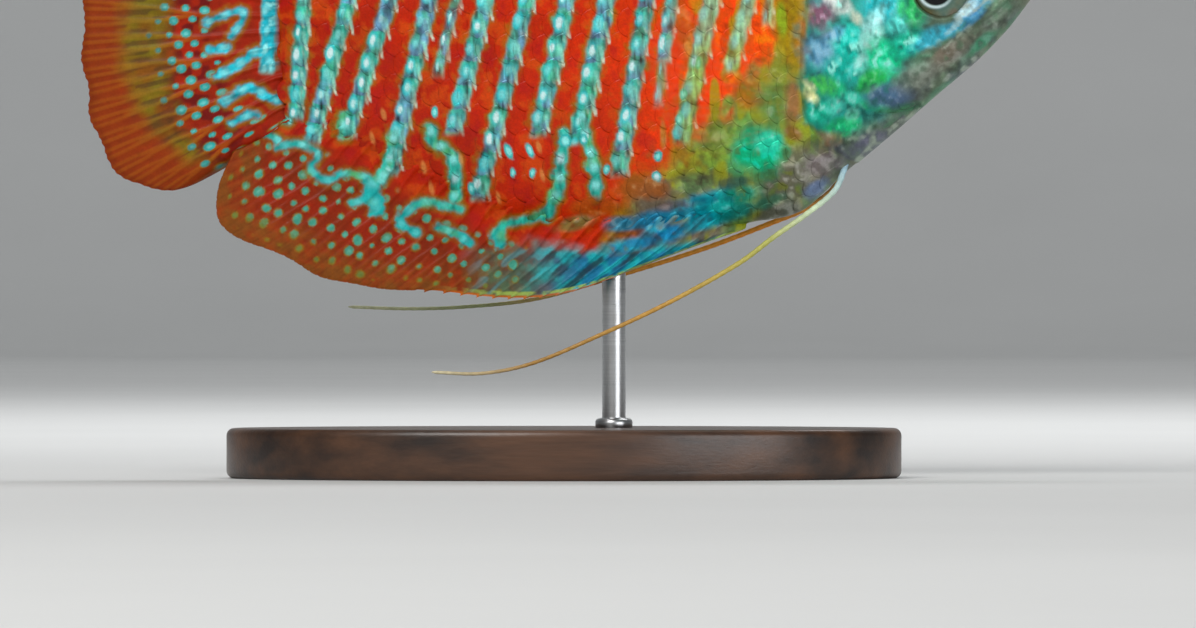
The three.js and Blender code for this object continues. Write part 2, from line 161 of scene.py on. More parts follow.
def stroke(x, z, points, reach):
    """Distance from a rounded line and how far along it, for the places within its reach."""
    p = rounded(points)
    near = (x > p[:, 0].min() - reach) & (x < p[:, 0].max() + reach)
    near &= (z > p[:, 1].min() - reach) & (z < p[:, 1].max() + reach)
    xs, zs = x[near], z[near]
    best, along = np.full(xs.shape, 1e9), np.zeros(xs.shape)
    start = 0
    for a, b in zip(p[:-1], p[1:]):
        d = b - a
        t = np.clip(((xs - a[0]) * d[0] + (zs - a[1]) * d[1]) / (d @ d), 0, 1)
        away = np.hypot(xs - a[0] - t * d[0], zs - a[1] - t * d[1])
        along = np.where(away < best, start + t * np.hypot(*d), along)
        best = np.minimum(best, away)
        start += np.hypot(*d)
    return near, best, along


def stroke_field(x, z, points, half_width, soft=0.22):
    """1 inside a rounded stroke along the points, falling to 0 outside."""
    out = np.zeros(x.shape)
    near, away, _ = stroke(x, z, points, half_width + soft)
    out[near] = fall(half_width - soft, half_width + soft, away)
    return out


# The trunk's form
STATIONS = np.array([
    # x, top, bottom, half width
    (-22.8, 9.4, -7.4, 1.0),
    (-21.2, 9.7, -8.1, 1.7),
    (-18.5, 10.4, -9.2, 2.3),
    (-14, 12.1, -11.5, 3.1),
    (-9, 14.1, -14, 3.9),
    (-3, 15.9, -16.3, 4.7),
    (3, 16.85, -17, 5.25),
    (9, 17.05, -16.6, 5.5),
    (15, 16.3, -15.6, 5.5),
    (19, 15.1, -14.7, 5.3),
    (22.7, 13.4, -11.5, 4.85),
    (26.5, 11.4, -8.3, 4.25),
    (30, 9.5, -5.3, 3.6),
    (33, 8.1, -2.75, 2.95),
    (35.4, 7.15, -0.3, 2.35),
    (37, 6.45, 1.75, 1.85),
    (38.1, 5.75, 3.3, 1.3),
    (38.56, 5.0, 4.2, 0.6),
])
FLANK_POWER = 0.6
body_top = smooth_curve(STATIONS[:, [0, 1]])
body_bottom = smooth_curve(STATIONS[:, [0, 2]])
half_width = smooth_curve(STATIONS[:, [0, 3]])


def middle_and_half(x):
    """Height of the trunk's middle line, and half its depth."""
    top, bottom = body_top(x), body_bottom(x)
    return (top + bottom) / 2, (top - bottom) / 2


def section(x, angle):
    """A point of the plain left side; angle runs from the belly, -90 degrees, to the back, 90."""
    middle, half = middle_and_half(x)
    y = half_width(x) * np.maximum(np.cos(angle), 0) ** (2 * FLANK_POWER)
    return np.stack([x + 0 * angle, y, middle + half * np.sin(angle)], -1)


def section_normal(x, angle):
    small, steepest = 1e-3, math.pi / 2 - 0.02
    a = np.clip(angle, -steepest, steepest)
    x = np.clip(x, TAIL_BASE_X + small, SNOUT_X - small)
    along = section(x + small, a) - section(x - small, a)
    around = section(x, a + small) - section(x, a - small)
    return unit(np.cross(around, along))


class Girth:
    """Finds the surface point at a distance round the trunk from the middle of its side."""

    xs = np.linspace(TAIL_BASE_X, SNOUT_X - 0.5, 240)
    rounds = np.arange(-26, 26.01, 0.1)
    heights = np.linspace(-1, 1, 401)
    angles = np.linspace(-math.pi / 2, math.pi / 2, 721)

    def __init__(self):
        x, a = np.meshgrid(self.xs, self.angles, indexing="ij")
        length = np.cumsum(np.linalg.norm(np.diff(section(x, a), axis=1), axis=2), axis=1)
        length = np.concatenate([np.zeros((len(self.xs), 1)), length], 1)
        length -= length[:, [len(self.angles) // 2]]
        self.by_length = np.stack([np.interp(self.rounds, row, self.angles) for row in length])
        self.by_height = np.stack([np.interp(self.heights, np.sin(self.angles), row) for row in length])
        self.lowest, self.highest = length[:, 0], length[:, -1]

    def looked_up(self, table, x, keys, key):
        i = np.interp(x, self.xs, np.arange(len(self.xs)))
        j = np.interp(key, keys, np.arange(len(keys)))
        i0 = np.clip(i.astype(int), 0, len(self.xs) - 2)
        j0 = np.clip(j.astype(int), 0, len(keys) - 2)
        fi, fj = i - i0, j - j0
        low = table[i0, j0] * (1 - fj) + table[i0, j0 + 1] * fj
        high = table[i0 + 1, j0] * (1 - fj) + table[i0 + 1, j0 + 1] * fj
        return low * (1 - fi) + high * fi

    def angle(self, x, g):
        return self.looked_up(self.by_length, x, self.rounds, g)

    def distance(self, x, z):
        """Distance round the trunk of a point at height z."""
        middle, half = middle_and_half(x)
        return self.looked_up(self.by_height, x, self.heights, np.clip((z - middle) / half, -1, 1))

    def limits(self, x):
        return np.interp(x, self.xs, self.lowest), np.interp(x, self.xs, self.highest)


girth = Girth()

# The gill opening's line, from nape to throat
GILL_LINE = [(24.5, 16), (22.6, 12.5), (20.4, 7), (19.2, 1), (18.9, -4), (19.6, -7.8), (21.6, -10),
             (24.2, -11.2), (26, -14)]
gill_x = smooth_curve(sorted((z, x) for x, z in GILL_LINE))
EYE = {"x": 30.0, "z": 3.05, "y": 2.6, "radius": 2.85, "depth": 1.45, "yaw": 12}
EYE_SHOWN = 2.2  # radius of the opening in the skin
PREOPERCLE = [(26.4, 7.2), (24.6, 3.6), (23.8, -0.5), (23.9, -3.6), (25.2, -6.2), (28.2, -6.3)]
GILL_FOLD = [(20.6, -8.6), (22.7, -7.1), (25.5, -7.1), (28.0, -6.4)]
CHEEK_FOLD = [(27.2, 0.4), (28.4, -1.2), (30.6, -1.6), (33.2, 0.2), (35.6, 2.0)]
JAW_FOLD = [(36.3, 3.1), (35.2, 1.5), (33.6, 0.3)]
NOSTRILS = [(35.0, 5.65, 0.26), (33.4, 6.15, 0.36)]
# Folds of the head: line, depth, half width
HEAD_FOLDS = [(PREOPERCLE, 0.12, 0.26), (GILL_FOLD, 0.14, 0.24), (CHEEK_FOLD, 0.12, 0.24),
              (JAW_FOLD, 0.18, 0.16)]


def relief(x, z):
    """How far the head's forms stand out of the plain trunk."""
    ahead = x - gill_x(z)
    fade = fall(10.5, 14.5, z) * (0.2 + 0.8 * step(-9.5, -5.5, z))
    out = 0.24 * np.exp(-np.maximum(ahead, 0) / 3.5) * step(-0.3, 0.25, ahead) * fade
    out -= 0.06 * bell(ahead + 0.4, 0.36) * fade
    for line, depth, width in HEAD_FOLDS:
        out -= depth * stroke_field(x, z, line, width, 0.3)
    out += 0.12 * stroke_field(x, z, [(px + 0.6, pz) for px, pz in PREOPERCLE[:4]], 0.25, 0.6)
    r = np.hypot(x - EYE["x"], z - EYE["z"])
    out += 0.16 * bell(r - EYE_SHOWN - 0.28, 0.26)
    out -= 1.5 * fall(EYE_SHOWN - 0.32, EYE_SHOWN + 0.06, r)
    for nx, nz, size in NOSTRILS:
        away = np.hypot(x - nx, z - nz)
        out += 0.1 * bell(away - size - 0.12, 0.12) - 0.4 * fall(size * 0.5, size, away)
    return out


# Markings. Each function gives linear colours and how much of the surface is mirror-like.
FRINGE = (140, 122, 22)  # olive, round bars, curls and dots
# The flank's red from the tail to the gill: x, colour
RED_STOPS = [(-23, (174, 32, 2)), (-10, (186, 36, 2)), (1, (200, 42, 1)), (6, (220, 54, 0)),
             (10, (250, 58, 0)), (15, (255, 74, 0)), (17.2, (232, 92, 0)), (18.4, (176, 138, 16))]
ROW_PITCH = 1.9  # of the scale rows on the middle of the trunk
ROW_SHIFT = 0.3  # of the middle row above the middle of the side


def row_fit(x):
    """Rows and scales shrink towards the tail."""
    return np.interp(x, (-23, -9, 15, 19), (0.82, 1, 1, 0.92))


def scale_row(x, z):
    """Number of the scale row that a point lies in; whole numbers are the rows' middles."""
    return (girth.distance(x, z) - ROW_SHIFT) / (ROW_PITCH * row_fit(x))


# Bars: x at the axis, lean in degrees, lowest z, half width, strength
BARS = [
    (-23.6, 2, -3.4, 0.5, 1.0),
    (-20.9, 4, -7.2, 0.5, 1.0),
    (-17.6, 15, -9.2, 0.52, 1.0),
    (-14.4, 18, -8.6, 0.52, 1.0),
    (-11.1, 13, -11.6, 0.56, 1.0),
    (-9.0, 14, -3.8, 0.28, 0.85),
    (-6.6, 14, -8.4, 0.56, 1.0),
    (-3.3, 14, -13.6, 0.54, 1.0),
    (-0.1, 12, -8.5, 0.56, 1.0),
    (3.1, 12, -9.2, 0.58, 1.0),
    (6.3, 9, -11.8, 0.56, 0.95),
    (8.35, 8, -2.6, 0.4, 0.9),
    (8.35, 8, -6.2, 0.2, 0.5),
    (11.4, 12, -9.2, 0.6, 0.9),
    (14.3, 15, -3.6, 0.5, 0.85),
    (16.1, 8, 0.2, 0.26, 0.7),
]
# Curls that the bars run out into on the lower flank and the anal fin: points, half width
LOW_CURLS = [
    ([(-23.4, -7.3), (-22.0, -7.5)], 0.26),
    ([(-23.8, -8.4), (-22.9, -9.0)], 0.3),
    ([(-23.0, -9.6), (-21.4, -9.2), (-19.9, -9.7), (-19.6, -10.3), (-20.4, -11.0), (-20.0, -11.8),
      (-18.7, -12.4), (-17.7, -11.6), (-16.3, -11.8), (-14.5, -12.2)], 0.3),
    ([(-13.6, -8.6), (-13.8, -10.0), (-14.1, -11.4), (-14.9, -12.3)], 0.42),
    ([(-15.4, -12.6), (-15.1, -14.2)], 0.72),
    ([(-15.6, -13.6), (-16.9, -14.0)], 0.26),
    ([(-17.4, -7.2), (-17.5, -8.2)], 0.66),
    ([(-10.6, -8.2), (-10.3, -9.5), (-9.4, -9.6), (-8.7, -10.6), (-8.6, -11.9), (-8.7, -13.5)], 0.46),
    ([(-8.3, -14.5), (-9.7, -14.2), (-11.3, -13.8), (-12.4, -14.5), (-13.2, -15.1), (-12.9, -15.9),
      (-11.8, -16.4)], 0.34),
    ([(-10.1, -16.0), (-8.7, -16.4), (-7.5, -17.2)], 0.36),
    ([(0.1, -8.6), (-0.3, -10.6), (-0.3, -12.6), (-0.9, -14.0), (-1.4, -14.9)], 0.5),
    ([(-1.2, -14.8), (-2.4, -15.3), (-4.1, -15.6), (-4.9, -15.8), (-5.2, -16.6)], 0.34),
    ([(-5.2, -16.5), (-5.1, -17.0)], 0.62),
    ([(1.3, -6.4), (1.7, -8.8), (2.2, -10.2)], 0.42),
    ([(2.3, -10.9), (2.6, -12.0), (2.5, -13.4)], 0.5),
]
# Middles of pale dashes between the bars: x, z
PALE_DASHES = [(-15.3, -8.8), (-14.4, -6.9), (-11.2, -11.2), (-10.6, -12.8), (-8.2, -10.6), (-5.2, -13.6),
               (-2.0, -9.5), (-1.7, -11.8)]


def bar_x(bar, z):
    """The bars' centre lines: straight below, bowing forward up the back."""
    return bar[0] + math.tan(math.radians(bar[1])) * (z - 0.64) + 0.012 * np.maximum(z - 4, 0) ** 2


def banded(stops, at):
    """Colours along a row of stops (place, sRGB colour)."""
    places, colours = zip(*stops)
    return np.stack([np.interp(at, places, band) for band in linear(*colours).T], -1)


def bar_layers(x, z, fine, bars=BARS):
    """The bars in sections: fringe, body, tone, halo, bright core, hanging streaks and their tips; the core,
    streaks and tips are painted highlights.
    """
    layers = np.zeros((7, *x.shape))
    rows, pitch = scale_row(x, z), ROW_PITCH * row_fit(x)
    for k, bar in enumerate(bars):
        _, _, lowest, half, strength = bar
        near = np.abs(x - bar_x(bar, z)) < half + 1.4
        px, pz, pitch_here, grit = x[near], z[near], pitch[near], fine[near]
        phase = rows[near] + 0.12 * math.sin(2.3 * k)
        row = np.round(phase)
        part = phase - row
        up = part * pitch_here
        ends = strength * step(lowest - 0.5, lowest + 0.3, pz)
        wide = half * (1 + 0.13 * np.cos(2 * math.pi * (part - 0.15)) + 0.24 * grit)
        off = np.abs(px - bar_x(bar, pz))
        body = ends * fall(wide - 0.08, wide + 0.26, off)
        fringe = ends * fall(wide, wide + 0.65 + 0.8 * grit, off)
        tone = np.clip(1.3 * chance(row, k, 7) - 0.9 * part - 0.1, 0, 1) * body
        size = 0.85 + 0.35 * chance(row, k, 9)
        dx = px - bar_x(bar, pz - up) + 0.42 * half - 0.26 * (chance(row, k, 3) - 0.5) - 0.15 * up
        dz = up - 0.12 - 0.3 * (chance(row, k, 27) - 0.5)
        away = np.hypot(dx / (0.52 * half * size), dz / (0.5 * size)) + 0.3 * grit
        # Painted highlight: the bright middle of each scale's blotch in the bar
        core = ends * (0.4 + 0.8 * chance(row, k, 21)) * fall(0.4, 1.2, away)
        halo = ends * fall(0.8, 1.9, away) * (0.4 + 0.8 * chance(row, k, 25))
        # Painted highlights: the pale streaks hanging from each scale and their tips
        streak, tip = np.zeros(px.shape), np.zeros(px.shape)
        for side, share, seed in ((0.66, 1.0, 11), (0.0, 0.4, 15)):
            for above in (0, 1):
                drop = (phase - row - above) * pitch_here
                line = bar_x(bar, pz - drop) + side * half - 0.2 * drop
                line = line + 0.2 * (chance(row + above, k, seed) - 0.5)
                down = (0.5 - drop) / (1.5 + 0.6 * chance(row + above, k, seed + 6))
                thin = 0.26 * (1 - 0.6 * down)
                inside = fall(0.5, 1.25, np.abs(px - line) / thin + 0.25 * grit) * step(0, 0.2, down)
                inside *= ends * share * fall(0.9, 1.05, down)
                inside *= 0.55 + 0.45 * chance(row + above, k, seed + 2)
                streak = np.maximum(streak, inside * (1 if half > 0.4 else 0.6))
                tip = np.maximum(tip, inside * step(0.66, 0.92, down))
        layers[:, near] = np.maximum(layers[:, near], np.stack([fringe, body, tone, halo, core, streak, tip]))
    return layers


def curl_layers(x, z, blur, fine, curls):
    """The curls' halo, body and bright beads."""
    layers = np.zeros((3, *x.shape))
    xs, zs = x + 0.14 * fine, z + 0.14 * blur
    for k, (points, half) in enumerate(curls):
        near, away, along = stroke(xs, zs, points, half + 0.8)
        bead = 0.5 + 0.5 * np.cos(2 * math.pi * along / 1.5 + 1.7 * k)
        wide = half * (0.86 + 0.3 * bead + 0.7 * fine[near])
        body = fall(wide - 0.18, wide + 0.18, away)
        halo = fall(wide, wide + 0.55, away)
        core = fall(0.15, 0.95 * half, away) * bead**1.5
        layers[:, near] = np.maximum(layers[:, near], np.stack([halo, body, core]))
    return layers


def patched(colour, gloss, x, z, patches, blur, fine, clump):
    """Ragged oval patches, one over another; painted sparkle highlights lighten some of their clumps and dark
    flecks darken others.
    """
    for k, (px, pz, rx, rz, lean, *tint, strength, flecks) in enumerate(patches):
        near = np.hypot(x - px, z - pz) < 1.5 * max(rx, rz)
        along, across = turned(x[near] - px, z[near] - pz, lean)
        grit = np.clip(2.4 * fine[near], -1, 1) * (1 if k % 2 else -1)
        lump = np.clip(2.4 * clump[near], -1, 1)
        ragged = np.hypot(along / rx, across / rz) + 0.35 * blur[near] + 0.12 * grit + 0.16 * lump
        spark = 0.55 * lump + 0.75 * grit
        share = strength * fall(0.5, 1.25, ragged) * (1 - 0.45 * flecks * step(0.2, 0.8, -spark))
        tint = linear(*tint)
        inside = lit(tint, 0.35 * grit + 0.25 * lump)
        # Painted sparkle highlights: the paler clumps
        inside = mix(inside, tint**0.4, 0.95 * flecks * step(0.2, 0.75, spark))
        inside = mix(inside, 0.4 * tint, 0.7 * flecks * step(0.45, 1.1, -spark))
        colour[near] = mix(colour[near], inside, share)
        gloss[near] = np.maximum(gloss[near], share * (0.35 + 0.5 * flecks))
    return colour, gloss


# Patches: x, z, two radii, lean in degrees, colour, strength, share of flecks (dark flecks and painted
# sparkle highlights)
FRONT_PATCHES = [
    (9.7, -0.8, 0.75, 3.2, 8, 196, 92, 14, 0.7, 0.5), (7.7, -4.2, 0.42, 1.6, 6, 150, 168, 48, 0.7, 0.5),
    (7.9, -8.6, 0.3, 1.6, 2, 150, 140, 50, 0.5, 0.5), (14.7, -5.4, 1.3, 1.3, 10, 186, 96, 16, 0.75, 0.7),
    (13.2, -3.9, 0.8, 0.7, 0, 176, 156, 16, 0.85, 0.4), (12.9, -6.4, 0.45, 1.1, -12, 128, 186, 76, 0.8, 0.5),
    (17.1, -3.6, 1, 1.9, 5, 120, 150, 60, 0.6, 0.6), (15.9, -0.5, 0.95, 2.6, 2, 255, 78, 0, 0.9, 0.4),
    (12.7, -1.6, 0.7, 3.6, 13, 255, 74, 0, 0.9, 0.2), (9.9, -4.6, 0.6, 3.8, 13, 252, 60, 0, 0.8, 0.2),
    (17.9, 0.4, 0.85, 4.6, 8, 164, 136, 6, 0.95, 0.3), (17.3, 0.6, 0.42, 1.3, 6, 150, 186, 34, 0.85, 0.6),
    (16.5, 0.8, 0.3, 1.1, 4, 214, 210, 130, 0.8, 0.3), (18.7, -1, 0.5, 1.8, 0, 176, 108, 10, 0.7, 0.3),
]
BELLY_PATCHES = [
    (18.6, -11.8, 4.4, 2.5, 25, 108, 106, 92, 0.95, 0.75),
    (20.6, -10.9, 2.4, 1.8, 20, 116, 102, 108, 0.8, 0.75),
    (15.4, -10.1, 2.6, 2.35, 10, 0, 184, 128, 0.98, 0.75), (16.2, -9.2, 1.2, 0.9, 20, 40, 216, 176, 0.9, 0.8),
    (16.7, -6.2, 1.4, 2, 6, 92, 152, 88, 0.7, 0.6), (12.2, -8.8, 1.4, 1.3, 0, 104, 148, 66, 0.6, 0.6),
    (18.2, -6, 0.8, 1.9, 0, 164, 108, 68, 0.9, 0.25), (18.3, -8.5, 0.9, 0.6, -30, 132, 52, 40, 0.65, 0.7),
    (17, -14.9, 2.6, 1, 22, 102, 106, 96, 0.9, 0.6), (20.2, -12.8, 1.3, 0.75, 35, 112, 134, 178, 0.8, 0.4),
    (2.4, -14.3, 2, 0.7, 5, 190, 90, 14, 0.7, 0.6), (0.8, -15.7, 1.6, 0.6, 15, 112, 146, 78, 0.65, 0.6),
    (6.4, -12.9, 2.5, 1, 5, 172, 92, 26, 0.75, 0.6), (10.3, -12.5, 1.9, 1, 10, 92, 136, 84, 0.75, 0.6),
    (4.7, -15.7, 1.4, 0.6, 5, 44, 148, 184, 0.9, 0.6), (7.2, -15.4, 2.2, 0.9, 8, 14, 142, 188, 0.92, 0.75),
    (10.6, -14.6, 2.6, 1.2, 12, 0, 144, 188, 0.95, 0.8), (12.2, -13.9, 2.2, 1.2, 14, 0, 160, 176, 0.92, 0.85),
    (14.2, -13.4, 2, 1, 14, 0, 156, 130, 0.9, 0.85), (13.6, -12.4, 1.6, 0.5, 10, 10, 76, 90, 0.7, 0.6),
    (8.8, -14.3, 1.6, 0.4, 8, 120, 96, 92, 0.6, 0.7), (5.8, -16.5, 1.8, 0.35, 5, 196, 88, 22, 0.7, 0.5),
    (5.2, -17.4, 2.2, 0.7, 12, 0, 146, 194, 0.9, 0.8), (8.4, -16.4, 2.4, 0.85, 16, 0, 136, 190, 0.95, 0.8),
    (11.4, -15.4, 2.4, 0.85, 18, 0, 156, 176, 0.95, 0.8), (7, -16.2, 0.9, 0.4, 30, 50, 196, 226, 0.8, 0.8),
    (10.8, -15.7, 0.9, 0.4, 30, 40, 196, 220, 0.8, 0.8), (14.2, -14.6, 2, 0.7, 20, 4, 140, 130, 0.9, 0.8),
    (16.4, -13.9, 1.6, 0.5, 22, 40, 120, 96, 0.7, 0.8), (9.4, -14.9, 0.9, 0.5, 10, 60, 190, 220, 0.8, 0.9),
    (12.6, -14.2, 1, 0.5, 16, 30, 206, 196, 0.8, 0.9),
]
# Single bright dashes: x, z, two radii, lean
CYAN_DASHES = [
    (-4.4, -9.9, 0.32, 0.66, -22), (-2.7, -9.8, 0.28, 0.62, -24), (-4.1, -11.6, 0.2, 0.4, 0),
    (-2.5, -11.6, 0.26, 0.4, 10), (0.1, -9.1, 0.44, 0.52, 0), (1.6, -9, 0.34, 0.44, 0),
    (7.5, -10.3, 0.36, 0.42, 0), (7.4, -11.9, 0.4, 0.4, 0), (-10.3, -6.8, 0.26, 0.46, 0),
    (10.7, -2.9, 0.24, 0.5, 8), (9.5, -5.4, 0.3, 0.5, 8), (9.2, -7.4, 0.34, 0.5, 8),
    (-7.4, -12.9, 0.26, 0.5, -10), (3.4, -11.4, 0.26, 0.42, 10),
]


def dashes(x, z, places, fine):
    out = np.zeros(x.shape)
    for px, pz, rx, rz, lean in places:
        near = np.hypot(x - px, z - pz) < 2.2 * rz
        wide, tall = turned(x[near] - px, z[near] - pz, -lean)
        out[near] = np.maximum(out[near], 1.2 - np.hypot(wide / rx, tall / rz) - 0.3 * fine[near])
    return out


def flank_marks(x, z, spot):
    """Red flank with leaning turquoise bars, an olive front and breast, and a blue edge to the belly."""
    blur, fine, clump = grain(spot, 3.0), grain(spot, 0.55), grain(spot + 31, 1.0)
    xs, zs = x + 0.08 * fine, z + 0.12 * blur
    front = step(7.5, 11, x)
    colour = lit(banded(RED_STOPS, xs), 0.14 * blur + 0.14 * fine)
    colour = mix(colour, (204, 76, 8), 0.6 * step(0.05, 0.35, clump + 0.4 * fine))
    colour = mix(colour, (170, 12, 24), 0.5 * step(0.15, 0.6, -clump) * (1 - front))
    line = np.interp(x, (2.5, 4, 5.5, 9.3, 12.6, 15.8), (-19, -15, -12.4, -9.2, -6.4, -3.4))
    low = fall(-1.6, 1.3, z - line + 2.2 * clump + blur)
    olive = mix((150, 116, 24), (84, 146, 66), step(8, 12, x + 5 * clump))
    olive = mix(olive, (126, 160, 44), 0.6 * step(0.1, 0.4, blur + 0.5 * fine))
    greyish = fall(-13.2, -11.4, z + 2 * fine) * step(4.5, 6.5, x) * fall(12, 14, x)
    olive = mix(olive, (104, 106, 88), greyish)
    colour = mix(colour, lit(olive, 0.9 * fine + 0.4 * clump), 0.95 * low)
    flames = noise(spot * (1.5, 1, 0.34) + 71, 1.0)
    colour = mix(colour, (156, 158, 22), 0.75 * front * step(0.54, 0.66, flames) * fall(0, 5, z))
    colour, gloss = patched(colour, np.zeros(x.shape), x, z, FRONT_PATCHES, blur, fine, clump)
    fringe, body, tone, halo, core, streak, tip = bar_layers(xs, zs, fine)
    around, curl, bead = curl_layers(x, z, blur, fine, LOW_CURLS)
    edging = np.maximum(fringe * (0.55 + 0.9 * fine), around * (1 - curl))
    colour = mix(colour, (130, 108, 16), (0.85 - 0.4 * front) * edging)
    combed = 0.5 * noise(spot * (3.4, 1, 0.8), 1.0) + 0.5 * noise(spot * (6.4, 1, 1.1) + 9, 1.0) - 0.5
    rear = mix((56, 180, 160), (96, 146, 178), 1.2 * tone)
    rear = mix(rear, (64, 188, 140), 0.6 * step(0.08, 0.35, clump))
    fore = mix((134, 184, 86), (146, 200, 160), step(-3.5, 0, z + 3 * clump))
    rows = scale_row(xs, zs)
    seam = step(0.3, 0.5, np.abs(rows - np.round(rows)))
    bar = mix(rear, fore, front) * ((1 + 2.2 * combed + 0.6 * fine) * (1 - 0.3 * seam))[..., None]
    colour = mix(colour, np.clip(bar, 0, 1), 0.96 * body)
    colour = mix(colour, (40, 206, 214), (0.8 - 0.6 * front) * halo * step(0.1, 0.7, halo + 1.2 * fine))
    curled = mix((44, 180, 162), (84, 178, 116), step(0.0, 0.4, clump))
    colour = mix(colour, lit(curled, 1.4 * combed + 0.5 * fine), curl)
    # Painted highlights: pale streaks hanging from the bars' scales, with near-white tips
    hanging = mix((142, 222, 200), (172, 208, 130), front) * (1 + 1.2 * combed)[..., None]
    colour = mix(colour, hanging, (0.72 - 0.2 * front) * streak)
    colour = mix(colour, (234, 226, 200), 0.7 * tip)
    # Painted highlights: the bars' bright cores, white in their middles; the curls' beads and the dashes'
    # middles take the same pale colour
    bright = mix((150, 248, 244), (214, 248, 255), step(0.1, 0.5, grain(spot + 57, 1.6)))
    beads = bead * step(-15, -12.5, z)
    colour = mix(colour, bright, np.maximum((1 - 0.6 * front) * core, 0.85 * beads))
    colour = mix(colour, (236, 255, 255), (0.75 - 0.4 * front) * step(0.6, 0.95, core))
    dash = dashes(xs, zs, CYAN_DASHES, fine)
    colour = mix(colour, mix((40, 190, 190), (120, 196, 116), front), step(0.02, 0.4, dash))
    colour = mix(colour, mix(bright, (150, 226, 170), front), step(0.4, 0.85, dash))
    pale = dashes(xs, zs, [(px, pz, 0.24, 0.62, -12) for px, pz in PALE_DASHES], fine)
    colour = mix(colour, (222, 150, 78), 0.6 * step(0.1, 0.7, pale))
    gloss = np.maximum(gloss, 0.75 * body + 0.6 * core)
    gloss = np.maximum(gloss, 0.8 * np.maximum(curl, step(0.1, 0.5, dash)))
    colour, gloss = patched(colour, gloss, x, z, BELLY_PATCHES, blur, fine, clump)
    back = step(9, 17, z + 0.15 * np.abs(x - 6))
    colour = mix(colour, colour * 0.45 + linear(58, 52, 30) * 0.5, 0.75 * back)
    return np.clip(colour, 0, 1), np.clip(gloss, 0, 1)


